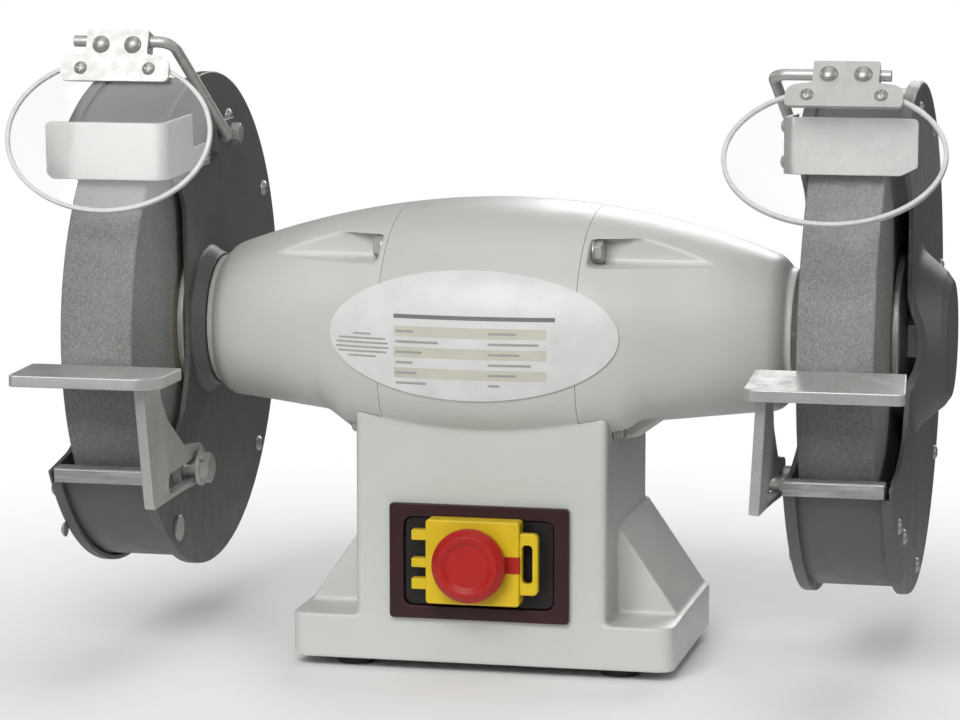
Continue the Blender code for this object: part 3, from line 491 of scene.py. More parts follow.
def plain_floor():
    """A pale matt floor that melts into the white surroundings away from the object."""
    finish = Finish("floor", roughness=0.9)
    finish.shader.inputs["Base Color"].default_value = (*(FLOOR_ALBEDO,) * 3, 1.0)
    nodes = finish.tree.nodes
    distance, fade, clear, blend = (nodes.new(f"ShaderNode{kind}")
        for kind in ("VectorMath", "MapRange", "BsdfTransparent", "MixShader"))
    distance.operation, fade.interpolation_type = "LENGTH", "SMOOTHSTEP"
    fade.inputs["From Min"].default_value, fade.inputs["From Max"].default_value = FLOOR_FADE
    finish.link(finish.place, distance.inputs[0])
    finish.link(distance.outputs["Value"], fade.inputs["Value"])
    finish.link(fade.outputs["Result"], blend.inputs["Fac"])
    finish.link(finish.shader.outputs["BSDF"], blend.inputs[1])
    finish.link(clear.outputs["BSDF"], blend.inputs[2])
    finish.link(blend.outputs["Shader"], nodes["Material Output"].inputs["Surface"])
    return finish.material


MATERIALS = {
    "housing_paint": surface(
        "cast_paint", (0.575, 0.585, 0.555), (0.635, 0.64, 0.61), (9.0, 4.0), (60.0, 3.0, 0.34, 0.46),
        [(45.0, 2.0, 0.0005), (900.0, 2.0, 0.00004)], (0.7, 0.7, 0.67),
        sockets=[("Coat Weight", 0.15), ("Coat Roughness", 0.25)]),
    # The guard paint's edge colour, about twice as light as the paint, is a painted highlight along the sheet's
    # convex edges.
    "guard_paint": surface(
        "sheet_paint", (0.1, 0.104, 0.094), (0.122, 0.126, 0.115), (14.0, 4.0), (80.0, 3.0, 0.38, 0.52),
        [(30.0, 2.0, 0.00015), (1100.0, 2.0, 0.00003)], (0.24, 0.245, 0.23)),
    "guard_lip": surface(
        "guard_lip", (0.3, 0.305, 0.29), (0.46, 0.465, 0.45), (1.0, 5.0, 0.65, (40.0, 500.0, 500.0)),
        (150.0, 3.0, 0.35, 0.55), [(0.00005,)], at=(0.35, 0.65), metallic=0.5),
    "rest_steel": surface(
        "ground_steel", (0.5, 0.5, 0.49), (0.62, 0.62, 0.6), (1.0, 4.0, 0.6, (1200.0, 90.0, 1200.0)),
        (120.0, 4.0, 0.36, 0.54), [(0.00003,), (300.0, 3.0, 0.00005)], (0.76, 0.76, 0.74), metallic=0.6),
    "dark_steel": surface(
        "stacked_steel", (0.12, 0.12, 0.125), (0.24, 0.24, 0.24), (1.0, 2.0, 0.5, (1800.0, 6.0, 6.0)),
        (150.0, 3.0, 0.38, 0.55), [(0.0002,)], metallic=1.0),
    "copper": surface(
        "wound_copper", (0.42, 0.15, 0.06), (0.68, 0.29, 0.13), (1.0, 3.0, 0.6, (900.0, 60.0, 60.0)),
        (200.0, 3.0, 0.35, 0.5), [(0.0003,)], metallic=0.9),
    "rubber": surface(
        "rubber", (0.012, 0.012, 0.012), (0.03, 0.03, 0.029), (70.0, 3.0), (200.0, 3.0, 0.7, 0.85),
        [(600.0, 3.0, 0.0001)]),
    "lens": surface(
        "clear_lens", (0.94, 0.955, 0.95), (0.97, 0.975, 0.97), (12.0, 3.0), (90.0, 5.0, 0.015, 0.06),
        sockets=[("Transmission Weight", 1.0), ("IOR", 1.25)]),
    # An opaque pale rim standing in for the bright edge that refraction and internal reflection give the clear
    # pane: a painted reflection.
    "lens_edge_glint": surface(
        "lens_edge_glint", (0.62, 0.64, 0.63), (0.74, 0.75, 0.74), (200.0, 3.0), (300.0, 3.0, 0.25, 0.4)),
    "abrasive": abrasive(), "zinc": zinc(), "floor": plain_floor(),
    "bolt": zinc("bolt_zinc", (0.5, 0.5, 0.48), 0.32, 0.48),
    "capacitor_can": zinc("capacitor_can", (0.62, 0.62, 0.62), 0.35, 0.5),
}
for name, colour, low, high in (("switch_black", (0.012, 0.01, 0.01), 0.38, 0.5),
        ("switch_maroon", (0.034, 0.008, 0.011), 0.38, 0.5),
        ("switch_yellow", (0.78, 0.55, 0.015), 0.3, 0.42), ("switch_red", (0.46, 0.014, 0.01), 0.36, 0.48),
        ("switch_green", (0.02, 0.3, 0.06), 0.3, 0.42), ("label", (0.8, 0.8, 0.785), 0.28, 0.38),
        ("label_band", (0.66, 0.635, 0.55), 0.35, 0.45), ("label_print", (0.42, 0.41, 0.39), 0.4, 0.5),
        ("label_heading", (0.2, 0.195, 0.19), 0.4, 0.5), ("wheel_paper", (0.21, 0.175, 0.125), 0.7, 0.85)):
    MATERIALS[name] = moulded(name, colour, low, high)

# ---- pieces


# The angles in degrees from which an edge is kept sharp: on a machined piece and on a casting.
SHARP, CASTING_SHARP = 32, 50


def add_piece(name, mesh, material, body="stand", place=TO_WORLD, stands_for=None,
        casting=False):
    """Puts a mesh in the scene as a piece that rides on a body and may stand for a CAD node."""
    mesh.transform(place)
    corners = [vertex.co for vertex in mesh.vertices]
    low = Vector(min(corner[i] for corner in corners) for i in range(3))
    high = Vector(max(corner[i] for corner in corners) for i in range(3))
    heart = (low + high) / 2
    mesh.transform(Matrix.Translation(-heart))
    mesh.materials.clear()
    mesh.materials.append(MATERIALS[material])
    mesh.shade_smooth()
    mesh.set_sharp_from_angle(angle=math.radians(CASTING_SHARP if casting else SHARP))
    piece = add_object(name, mesh)
    piece.location = heart
    if not casting:
        step = piece.modifiers.new("normals", "WEIGHTED_NORMAL")
        step.keep_sharp = True
    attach(piece, body)
    if stands_for:
        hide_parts(stands_for)


def add_skin(node, mesh, material, body="stand", place=TO_WORLD, casting=False):
    """Puts a mesh in the scene in place of a CAD node."""
    add_piece(f"{node}_skin", mesh, material, body, place, node, casting)


def facing(place, direction):
    """A frame at a place whose Z looks along a direction."""
    return Matrix.Translation(place) @ Vector(direction).to_track_quat("Z", "Y").to_matrix().to_4x4()


def add_screw(name, head, seat, direction, body, place):
    """Puts a screw's head on its seat, looking along a direction."""
    head.transform(facing(seat, direction))
    add_piece(name, head, "bolt", body, place)


def cone_ring(low, high, radius, edge, segments=32):
    """A disc along Z with both of its rims chamfered."""
    profile = [(low, 0.0), (low, radius - edge), (low + edge, radius), (high - edge, radius),
        (high, radius - edge), (high, 0.0)]
    return turned(profile, segments=segments, axis="Z")


def hexagon_head(radius, low, high, washer=0.0, washer_radius=0.0):
    """A hexagon head along Z over an optional washer, with the chamfered top of a real one."""
    chamfered = [(low, 0.0), (low, radius), (high - 0.12 * radius, radius), (high, 0.8 * radius),
        (high, 0.0)]
    head = shaped(cylinder("Z", radius, low, high, segments=6),
        meets=[turned(chamfered, segments=48, axis="Z")], bevel=0.00015)
    if washer:
        head = shaped(head, joins=[cone_ring(low - washer, low + 0.0002, washer_radius, 0.0002)])
    return head


def dome_head(radius, height, recess=0.0):
    """A domed screw head on z = 0, with a cross recess where a depth is given."""
    arc = [math.radians(angle) for angle in range(0, 90, 10)]
    profile = [(height * math.sin(a), radius * math.cos(a)) for a in arc] + [(height, 0.0), (0.0, 0.0)]
    head = turned(profile, segments=32, axis="Z")
    if recess:
        reach, half = 0.62 * radius, 0.12 * radius
        low, high = height - recess, height + 0.001
        head = shaped(head, cuts=[box((-reach, -half, low), (reach, half, high)),
            box((-half, -reach, low), (half, reach, high))])
    return head


# ---- motor barrel

BARREL_END, BARREL_SEAM, BARREL_FILLET = 0.16, 0.054, 0.01
LUG_START, LUG_END = 0.078, 0.092
HUB_FACE = 0.1635
PEDESTAL_HALF_WIDTH, PEDESTAL_FRONT, PEDESTAL_BACK = 0.0695, -0.0697, 0.055
PEDESTAL_CORNER, PEDESTAL_TOP = 0.004, -0.03
PLINTH_HALF_WIDTH, PLINTH_FRONT, PLINTH_BACK = 0.106, -0.07, 0.064
PLINTH_TOP, PLINTH_BOTTOM, PLINTH_CORNER = -0.152, -0.1764, 0.009
FLARE_TOP, FLARE_FRONT, SADDLE_END = -0.103, -0.036, 0.095
CASTING_WALL = 0.008
SWITCH_HEIGHT = -0.12
BEZEL_HALF, BEZEL_WINDOW = (0.0495, 0.0315), (0.0415, 0.0245)
GLAND = (0.045, -0.13)


def barrel_half_sizes(x):
    """The barrel's half depth, its height above the spindle and its depth below it, at a distance x."""
    share = min(abs(x) / BARREL_END, 1.0)
    depth = 0.088 - 1.76 * x * x
    top = 0.0715 - 1.22 * x * x
    near_pedestal = min(max((LUG_END - abs(x)) / (LUG_END - LUG_START), 0.0), 1.0)
    below = 0.0415 + 0.0095 * (1.0 - share * share) ** 1.5 + 0.009 * near_pedestal
    into_fillet = abs(x) - (BARREL_END - BARREL_FILLET)
    if into_fillet > 0.0:
        inset = BARREL_FILLET - math.sqrt(max(BARREL_FILLET ** 2 - into_fillet ** 2, 0.0))
        depth, top, below = depth - inset, top - inset, below - inset
    return depth, top, below


def barrel_powers(x):
    """How square the section is above and below the spindle: 2 is an ellipse."""
    share = min(abs(x) / BARREL_END, 1.0)
    return 2.25 - 0.15 * share, 3.0 - 0.8 * share * share


def barrel_ring(x, grow=0.0, count=112):
    depth, top, below = barrel_half_sizes(x)
    upper_power, lower_power = barrel_powers(x)
    ring = []
    for k in range(count):
        angle = 2 * math.pi * k / count
        across, up = math.cos(angle), math.sin(angle)
        power = upper_power if up >= 0 else lower_power
        reach = (abs(across) ** power + abs(up) ** power) ** (-1.0 / power)
        height = (top if up >= 0 else below) + grow
        ring.append((x, (depth + grow) * across * reach, height * up * reach))
    return ring


def barrel_front(x, z):
    """The y of the barrel's front surface."""
    depth, top, below = barrel_half_sizes(x)
    upper_power, lower_power = barrel_powers(x)
    height, power = (top, upper_power) if z >= 0 else (below, lower_power)
    return -depth * (1.0 - (abs(z) / height) ** power) ** (1.0 / power)


def barrel_length(stations, grow=0.0):
    """A length of the barrel as a closed loft between its sections."""

    def build(bm):
        rings = [[bm.verts.new(p) for p in barrel_ring(x, grow)] for x in stations]
        for ring, following in zip(rings, rings[1:]):
            for i in range(len(ring)):
                j = (i + 1) % len(ring)
                bm.faces.new((ring[i], ring[j], following[j], following[i]))
        bm.faces.new(rings[0])
        bm.faces.new(rings[-1])

    return mesh_from("barrel", build)


def steps_between(low, high, count):
    return [low + (high - low) * k / count for k in range(count + 1)]


BOLT_Y, BOLT_Z = 0.048, 0.048
BELL_BOLTS = [(y, z) for y in (-BOLT_Y, BOLT_Y) for z in (-BOLT_Z, BOLT_Z)]
BELL_BOLT_HOLE, POCKET_INSIDE, POCKET_HALF_HEIGHT, POCKET_MOUTH = 0.0036, 0.04, 0.007, 0.158
SEAM_OVERLAP, STATOR_SEAT, SPIGOT = 0.006, 0.0574, 0.03
# Half the size of a block that reaches past the barrel on every side.
BEYOND = 0.1


def pocket_end(z):
    """How far from the middle a bell bolt's head sits."""
    return 0.0575 if z > 0 else 0.07


def build_casting():
    half = BARREL_SEAM - GAP / 2
    long_half = half + SEAM_OVERLAP
    pedestal = centred(PEDESTAL_HALF_WIDTH, PEDESTAL_FRONT, PEDESTAL_BACK, PEDESTAL_CORNER)
    plinth = centred(PLINTH_HALF_WIDTH, PLINTH_FRONT, PLINTH_BACK, PLINTH_CORNER)
    joins = [slab(pedestal, "Z", PLINTH_TOP - 0.002, PEDESTAL_TOP),
        slab(plinth, "Z", PLINTH_BOTTOM, PLINTH_TOP)]
    inner, outer, trims = PEDESTAL_HALF_WIDTH - 0.006, PLINTH_HALF_WIDTH - 0.003, []
    for side in (-1, 1):
        flare = [(side * inner, FLARE_TOP), (side * (PEDESTAL_HALF_WIDTH + 0.0005), FLARE_TOP),
            (side * outer, PLINTH_TOP + 0.001), (side * outer, PLINTH_TOP - 0.003),
            (side * inner, PLINTH_TOP - 0.003)]
        joins.append(slab(flare, "Y", FLARE_FRONT, PEDESTAL_BACK + 0.004))
        trims.append(barrel_length([side * x for x in steps_between(half, SADDLE_END, 24)], GAP))
        low, high = spans(side, half, 0.08)
        trims.append(box((low, -BEYOND, -0.0345), (high, BEYOND, BEYOND)))
    wall = CASTING_WALL
    cuts = [
        cylinder("X", STATOR_SEAT, -BEYOND, BEYOND, segments=96),
        slab(centred(0.062, PEDESTAL_FRONT + wall, PEDESTAL_BACK - wall, 0.006), "Z", -0.19, -0.067),
        slab(centred(0.098, PLINTH_FRONT + wall, PLINTH_BACK - wall, 0.006), "Z", -0.19, -0.16),
        cylinder("Z", 0.009, -0.09, -0.04, (0.0, 0.02)),
    ]
    half_width, half_height = (half + 0.0005 for half in BEZEL_WINDOW)
    trims.append(box((-half_width, -0.09, SWITCH_HEIGHT - half_height),
        (half_width, -0.05, SWITCH_HEIGHT + half_height)))
    trims.append(cylinder("Y", 0.009, 0.04, 0.08, GLAND))
    for place in BELL_BOLTS:
        trims.append(cylinder("X", BELL_BOLT_HOLE, -0.085, 0.085, place, 24))
    casting = cast(barrel_length(steps_between(-long_half, long_half, 24)), joins, cuts, trims)
    add_skin("housing_casting", casting, "housing_paint", casting=True)


def build_bell(end, side):
    fillet = BARREL_END - BARREL_FILLET
    arc = [fillet + BARREL_FILLET * math.sin(math.radians(a)) for a in range(10, 91, 10)]
    seam = BARREL_SEAM + GAP / 2
    stations = [side * x for x in steps_between(seam - SEAM_OVERLAP, fillet, 30) + arc]
    hollow = [(SPIGOT, 0.0), (SPIGOT, 0.054), (0.054, 0.054), (0.078, 0.05), (0.092, 0.0415), (0.14, 0.031),
        (0.14, 0.0263), (0.1563, 0.0263), (0.1563, 0.015), (0.17, 0.015), (0.17, 0.0)]
    cuts = [turned(hollow, side, 96)]
    low, high = spans(side, SPIGOT, seam)
    trims = [box((low, -BEYOND, -BEYOND), (high, BEYOND, BEYOND))]
    for y, z in BELL_BOLTS:
        near, far = spans(math.copysign(1.0, y), POCKET_INSIDE, BEYOND if z > 0 else BOLT_Y + 0.008)
        low, high = spans(side, pocket_end(z), POCKET_MOUTH)
        bottom = z - POCKET_HALF_HEIGHT if z > 0 else -BEYOND
        cuts.append(box((low, near, bottom), (high, far, z + POCKET_HALF_HEIGHT)))
        trims.append(cylinder("X", BELL_BOLT_HOLE, *spans(side, 0.045, 0.077), (y, z), 24))
    boss = cylinder("X", 0.036, *spans(side, 0.15, HUB_FACE - GAP), segments=96)
    bell = cast(barrel_length(stations), [boss], cuts, trims, voxel=0.0011, smoothing=4)
    add_skin(f"end_bell_{end}", bell, "housing_paint", casting=True)
    for y, z in BELL_BOLTS:
        name = "bell_bolt_{}_{}_{}".format(end, "front" if y < 0 else "rear", "upper" if z > 0 else "lower")
        seat = pocket_end(z)
        bolt = shaped(hexagon_head(0.0062, 0.0012, 0.0058, 0.001, 0.0066),
            joins=[cylinder("Z", 0.003, 0.04 - seat, 0.001, segments=24)])
        bolt.transform(facing((side * seat, y, z), (side, 0.0, 0.0)))
        add_skin(name, bolt, "bolt")


def on_barrel(rows, wrap, lift, thickness):
    """A thin sheet over rows of (x, z) points along the barrel's front; wrap joins each row to itself."""
    bm = bmesh.new()
    grid = [[bm.verts.new((x, barrel_front(x, z) - lift, z)) for x, z in row] for row in rows]
    count = len(rows[0])
    for row, following in zip(grid, grid[1:]):
        for k in range(count if wrap else count - 1):
            j = (k + 1) % count
            bm.faces.new((row[k], row[j], following[j], following[k]))
    if wrap:
        bm.faces.new(grid[0])
    bmesh.ops.recalc_face_normals(bm, faces=bm.faces)
    bm.faces.ensure_lookup_table()
    if bm.faces[0].normal.y > 0:
        bmesh.ops.reverse_faces(bm, faces=bm.faces)
    holder = add_object("sheet", mesh_of(bm, "sheet"))
    step = holder.modifiers.new("thickness", "SOLIDIFY")
    step.thickness = thickness
    step.offset = 1.0
    return settle(holder)


PATCH_CELL, PRINT_THICKNESS = 0.003, 0.00008


def patch(x_low, x_high, z_low, z_high, lift=0.001):
    """A printed area of the nameplate."""
    columns = max(2, round((x_high - x_low) / PATCH_CELL))
    rows = max(1, round((z_high - z_low) / PATCH_CELL))
    levels = steps_between(z_low, z_high, rows)
    grid = [[(x, z) for x in steps_between(x_low, x_high, columns)] for z in levels]
    return on_barrel(grid, False, lift, PRINT_THICKNESS)


def merged(meshes):
    """Several separate closed meshes as one."""
    bm = bmesh.new()
    for mesh in meshes:
        bm.from_mesh(mesh)
    return mesh_of(bm, "merged")


def build_nameplate():
    """A blank oval data plate: pale table rows and plain grey bars, with nothing written on it."""
    centre, half_x, half_z = (-0.002, 0.005), 0.079, 0.0345
    shares = [0.06] + steps_between(0.12, 1.0, 18)
    rings = [ellipse(centre, half_x * share, half_z * share, 128) for share in shares]
    add_skin("nameplate", on_barrel(rings, True, 0.0005, 0.0005), "label")
    pitch, table_top, left, right = 0.0056, 0.01, -0.0437, 0.0396
    tops = [table_top - pitch * row for row in range(6)]
    bands = [patch(left, right, top - pitch, top) for top in tops[::2]]
    add_piece("nameplate_rows", merged(bands), "label_band")
    bars = []
    for row, top in enumerate(tops):
        middle = top - pitch / 2
        first = (0.01, 0.024, 0.015, 0.0095, 0.0115, 0.017)[row]
        second = (0.015, 0.027, 0.017, 0.023, 0.015, 0.006)[row]
        for start, length in ((left + 0.001, first), (0.0085, second)):
            bars.append(patch(start, start + length, middle - 0.0006, middle + 0.0006, 0.0011))
    for row, reach in enumerate((0.005, 0.0135, 0.015, 0.0155, 0.014, 0.008)):
        middle = 0.0048 - 0.0024 * row
        bars.append(patch(-0.062 - reach, -0.062 + reach, middle - 0.0005, middle + 0.0005))
    add_piece("nameplate_bars", merged(bars), "label_print")
    heading = patch(-0.044, 0.044, 0.014, 0.0162)
    add_piece("nameplate_heading", heading, "label_heading")


# ---- wheels and flanges

WHEEL_INSIDE, WHEEL_OUTSIDE, WHEEL_RADIUS, WHEEL_BORE = 0.1775, 0.2175, 0.125, 0.016
PAPER_RADIUS, PAPER_THICKNESS = 0.052, 0.0002
FLANGE_RADIUS, FLANGE_BORE = 0.045, 0.0103


def build_wheel(end, side):
    inside, outside, rim, hole = WHEEL_INSIDE, WHEEL_OUTSIDE, WHEEL_RADIUS, WHEEL_BORE
    stone = rounded([(inside, hole, 0.0005), (inside, rim, 0.0014), (outside, rim, 0.0014),
        (outside, hole, 0.0005)], 4)
    stone = turned(stone, side, 192)
    add_piece(f"wheel_{end}_stone", stone, "abrasive", "rotor", stands_for=f"wheel_{end}")
    for name, low, high in (("inner", inside - PAPER_THICKNESS, inside),
            ("outer", outside, outside + PAPER_THICKNESS)):
        edge = hole + 0.0005
        paper = [(low, edge), (low, PAPER_RADIUS), (high, PAPER_RADIUS), (high, edge)]
        add_piece(f"wheel_{end}_{name}_paper", turned(paper, side, 96), "wheel_paper", "rotor")
    bore, flange = FLANGE_BORE, FLANGE_RADIUS
    inner = rounded([(0.1668, bore, 0.0003), (0.1668, 0.0335, 0.001), (0.1741, 0.0345, 0.0005),
        (0.1741, flange, 0.0006), (inside - GAP, flange, 0.0004), (inside - GAP, bore, 0.0003)], 3)
    add_skin(f"inner_flange_{end}", turned(inner, side, 96), "zinc", "rotor")
    outer = rounded([(outside + GAP, bore, 0.0003), (outside + GAP, flange, 0.0004),
        (outside + 0.0035, flange, 0.0008), (outside + 0.0055, 0.028, 0.002),
        (outside + 0.0055, bore, 0.0003)], 3)
    add_skin(f"outer_flange_{end}", turned(outer, side, 96), "zinc", "rotor")
    nut = shaped(hexagon_head(0.0173, 0.0, 0.0107), cuts=[cylinder("Z", bore, -0.01, 0.02)])
    nut.transform(facing((side * (outside + 0.0058), 0.0, 0.0), (side, 0.0, 0.0)))
    add_skin(f"spindle_nut_{end}", nut, "bolt", "rotor")


# ---- guards

PLATE_RADIUS, PLATE_FACE, SHEET = 0.1387, 0.171, 0.0025
PLATE_RIM, BAND_OUTSIDE, BAND_EDGE = 0.0065, 0.1347, 0.224
COVER_FACE, COVER_INSIDE, COVER_RIM_EDGE, COVER_HUB_FACE = 0.228, 0.2255, 0.2215, 0.2465
REST_BOLT = (-0.073, -0.071)
OPENING = rounded([
    (-0.175, -0.0665, 0.0), (-0.122, -0.0665, 0.0), (-0.089, -0.062, 0.03), (-0.058, -0.051, 0.03),
    (-0.042, -0.02, 0.035), (-0.042, 0.074, 0.026), (-0.092, 0.1052, 0.0), (-0.175, 0.11, 0.0),
], 12)
RIM_SCREWS = [(-0.019, 0.124), (0.06, 0.11), (0.118, 0.03), (0.1, -0.075), (0.01, -0.126)]
COVER_SCREWS = {"left": [(-0.108, -0.078), (-0.094, -0.104), *RIM_SCREWS],
    "right": [(-0.09, -0.09), (-0.062, -0.0996), *RIM_SCREWS]}


def build_guard(end, side, place):
    hub, plate, sheet = HUB_FACE, PLATE_FACE, SHEET
    shell = rounded([
        (hub, 0.02, 0.0), (hub, 0.037, 0.001), (plate, 0.0405, 0.0025), (plate, PLATE_RADIUS, 0.0009),
        (plate + PLATE_RIM, PLATE_RADIUS, 0.0009), (plate + PLATE_RIM, BAND_OUTSIDE, 0.0004),
        (BAND_EDGE, BAND_OUTSIDE, 0.0004), (BAND_EDGE, BAND_OUTSIDE - sheet, 0.0004),
        (plate + sheet, BAND_OUTSIDE - sheet, 0.0004), (plate + sheet, 0.0395, 0.001),
        (hub + sheet, 0.036, 0.0025), (hub + sheet, 0.02, 0.0),
    ], 4)
    opening = slab(OPENING, "X", *spans(side, 0.15, 0.26))
    bolt_hole = cylinder("X", 0.0055, *spans(side, 0.165, 0.177), REST_BOLT)
    guard = shaped(turned(shell, side, 192), cuts=[opening, bolt_hole], bevel=0.0004)
    add_skin(f"guard_shell_{end}", guard, "guard_paint", "stand", place)
    lip = rounded([(-0.1232, -0.0716, 0.0006), (-0.1232, -0.0636, 0.0014), (-0.1122, -0.0636, 0.0006),
        (-0.1122, -0.0658, 0.0006), (-0.1216, -0.0658, 0.0), (-0.1216, -0.0716, 0.0006)], 5)
    bar = slab(lip, "X", *spans(side, plate + 0.0002, BAND_EDGE - 0.0004))
    add_piece(f"guard_shell_{end}_lip", shaped(bar, bevel=0.0003), "guard_lip", "stand", place)

    face, inside, rim = COVER_FACE, COVER_INSIDE, COVER_RIM_EDGE
    dish = COVER_HUB_FACE - face
    cover = rounded([
        (face + dish, 0.0, 0.0), (face + dish, 0.031, 0.005), (face + dish - 0.004, 0.0365, 0.005),
        (face, 0.049, 0.01), (face, PLATE_RADIUS, 0.0022), (rim, PLATE_RADIUS, 0.0006),
        (rim, BAND_OUTSIDE + 0.0012, 0.0006), (inside, BAND_OUTSIDE + 0.0012, 0.0004),
        (inside, 0.047, 0.008), (inside + dish - 0.004, 0.0345, 0.003), (inside + dish, 0.0295, 0.003),
        (inside + dish, 0.0, 0.0),
    ], 8)
    low, high = spans(side, rim - 0.01, inside + 0.0005)
    ledge_room = box((low, -0.15, -0.0726), (high, -0.1085, -0.06))
    lid = shaped(turned(cover, side, 192), cuts=[opening, ledge_room], bevel=0.0004)
    add_skin(f"guard_cover_{end}", lid, "guard_paint", "stand", place)
    for i, (y, z) in enumerate(COVER_SCREWS[end]):
        add_screw(f"guard_cover_{end}_screw_{i}", dome_head(0.0042, 0.0026, 0.0014),
            (side * (face - 0.0003), y, z), (side, 0.0, 0.0), "stand", place)
    backing = [(-0.071, -0.106), (0.04, 0.11), (0.11, 0.06), (0.09, -0.09)]
    for i, (y, z) in enumerate(backing):
        lowest = hexagon_head(0.006, 0.0016, 0.0068, 0.0014, 0.0072)
        add_screw(f"guard_shell_{end}_screw_{i}", dome_head(0.0046, 0.003, 0.0014) if i else lowest,
            (side * (plate + 0.0002), y, z), (-side, 0.0, 0.0), "stand", place)


# ---- tool rests

# The plate's inner edge, its outer edge at the back and at the front, and its cut corner; then the arm.
REST_PLATE = {"left": (0.1485, 0.2325, 0.23, 0.01), "right": (0.157, 0.2345, 0.2385, 0.004)}
REST_ARM = {"left": (0.1655, math.radians(1.0)), "right": (0.168, math.radians(4.0))}
REST_BACK, REST_FRONT, REST_THICKNESS = -0.1275, -0.173, 0.0062
ARM_THICKNESS = 0.0055


def build_rest(end, side, place):
    bolt_y, bolt_z = REST_BOLT
    washer, shank, spacer = 0.01, 0.005, 0.0085
    profile = [(0.155, 0.0), (0.155, washer - 0.0003), (0.1553, washer), (0.1567, washer),
        (0.157, washer - 0.0003), (0.157, shank), (0.1655, shank), (0.1655, spacer),
        (PLATE_FACE - GAP, spacer), (PLATE_FACE - GAP, shank), (0.1738, shank), (0.1738, spacer - 0.0003),
        (0.1741, spacer), (0.1765, spacer), (0.1765, 0.0)]
    head = hexagon_head(0.0085, 0.0, 0.0052)
    head.transform(facing((side * 0.1552, 0.0, 0.0), (-side, 0.0, 0.0)))
    bolt = shaped(turned(profile, side, 48), joins=[head])
    add_skin(f"rest_bolt_{end}", bolt, "bolt", f"rest_clamp_{end}", place)

    inside, outside, front_outside, chamfer = REST_PLATE[end]
    arm_outside, arm_splay = REST_ARM[end]
    length = REST_FRONT - REST_BACK
    outline = rounded(mirrored(side, [(inside, 0.0, 0.003), (outside, 0.0, 0.001),
        (front_outside, length, 0.003), (inside + chamfer, length, chamfer),
        (inside, length + chamfer, chamfer)]))
    plate = shaped(slab(outline, "Z", -REST_THICKNESS, 0.0), bevel=0.0007)
    hinge = Matrix.Translation((0.0, REST_BACK - bolt_y, -0.006 - bolt_z))
    plate.transform(hinge @ Matrix.Rotation(REST_TILT[end], 4, "X"))
    arm_outline = rounded([
        (-0.161, -0.01, 0.0), (-0.15, -0.079, 0.003), (-0.128, -0.079, 0.004), (-0.095, -0.0795, 0.0),
        (-0.057, -0.081, 0.009), (-0.057, -0.06, 0.009), (-0.091, -0.056, 0.02),
        (-0.12, -0.036, 0.02), (-0.131, -0.022, 0.006), (-0.131, -0.01, 0.0),
    ], 10)
    arm_outline = [(y - bolt_y, z - bolt_z) for y, z in arm_outline]
    slot = slab(rectangle((-0.05, -0.0056), (0.0115, 0.0056), 0.0056, 10), "X", *spans(side, 0.14, 0.175))
    hang = Matrix.Translation((side * arm_outside, 0.0, -0.012 - bolt_z))
    arm = slab(arm_outline, "X", *spans(side, arm_outside - ARM_THICKNESS, arm_outside))
    arm.transform(hang @ Matrix.Rotation(side * arm_splay, 4, "Y") @ hang.inverted())
    arm = shaped(arm, cuts=[slot], bevel=0.0006)
    add_skin(f"tool_rest_{end}", shaped(plate, joins=[arm]), "rest_steel", f"rest_{end}", place)


# ---- spark arresters

# The heights of its two edges, how far it reaches out, and the size of its cut lower corner.
ARRESTER = {"left": (0.0895, 0.1203, 0.232, (0.003, 0.003)),
    "right": (0.092, 0.1215, 0.235, (0.009, 0.0045))}


def build_arrester(end, side, place):
    sheet, front, rear, inside, hold_low, hold_high = 0.002, -0.097, -0.016, 0.165, 0.16, 0.17
    low, high, outside, (corner_along, corner_up) = ARRESTER[end]
    outline = rounded(mirrored(side, [
        (outside, front, 0.0), (outside, front + sheet, 0.0), (inside + sheet, front + sheet, 0.005),
        (inside + sheet, rear, 0.0), (inside, rear, 0.0), (inside, front, 0.007),
    ]), 10)
    across = spans(side, hold_low, hold_high)
    notch = slab(rounded([(-0.046, low + 0.012, 0.003), (0.01, low + 0.012, 0.0),
        (0.01, high + 0.01, 0.0), (-0.046, high + 0.01, 0.0)]), "X", *across)
    slot = slab(rectangle((-0.0275, low + 0.002), (-0.0215, low + 0.01), 0.0028), "X", *across)
    face = rounded(mirrored(side, [
        (inside - 0.001, low, 0.0), (outside - corner_along, low, 0.002), (outside, low + corner_up, 0.002),
        (outside, high, 0.003), (inside - 0.001, high, 0.0),
    ]), 6)
    angle = shaped(slab(outline, "Z", low, high), cuts=[notch, slot],
        meets=[slab(face, "Y", front - 0.01, rear + 0.01)], bevel=0.0004)
    add_skin(f"spark_arrester_{end}", angle, "zinc", f"arrester_{end}", place)
    add_screw(f"spark_arrester_{end}_screw", dome_head(0.0044, 0.0028, 0.0014),
        (side * (inside - 0.0002), -0.0245, low + 0.006), (-side, 0.0, 0.0), "stand", place)
    for name, z in (("low", low + 0.006), ("high", high - 0.005)) if end == "right" else ():
        add_screw(f"spark_arrester_{end}_rivet_{name}", dome_head(0.0034, 0.002),
            (side * (inside + 0.0001), -0.0885, z), (-side, 0.0, 0.0), f"arrester_{end}", place)


# ---- eye shields

CLAMP = (0.006, 0.102)
ROD_RADIUS, ROD_PLANE, ROD_TIP = 0.003, 0.1605, {"left": 0.2145, "right": 0.2215}
BRACKET_MIDDLE = {"left": 0.189, "right": 0.199}
SHIELD_MIDDLE = {"left": 0.19, "right": 0.197}
SHIELD_DROP, SHIELD_SEMI_AXES, SHIELD_THICKNESS = 0.052, (0.0572, 0.043), 0.003
# The height, radius, rise and recess of the bracket's upper bolts and lower screws.
BRACKET_BOLT, BRACKET_SCREW = (-0.0034, 0.0048, 0.0034, 0.0), (-0.0165, 0.0036, 0.0022, 0.001)


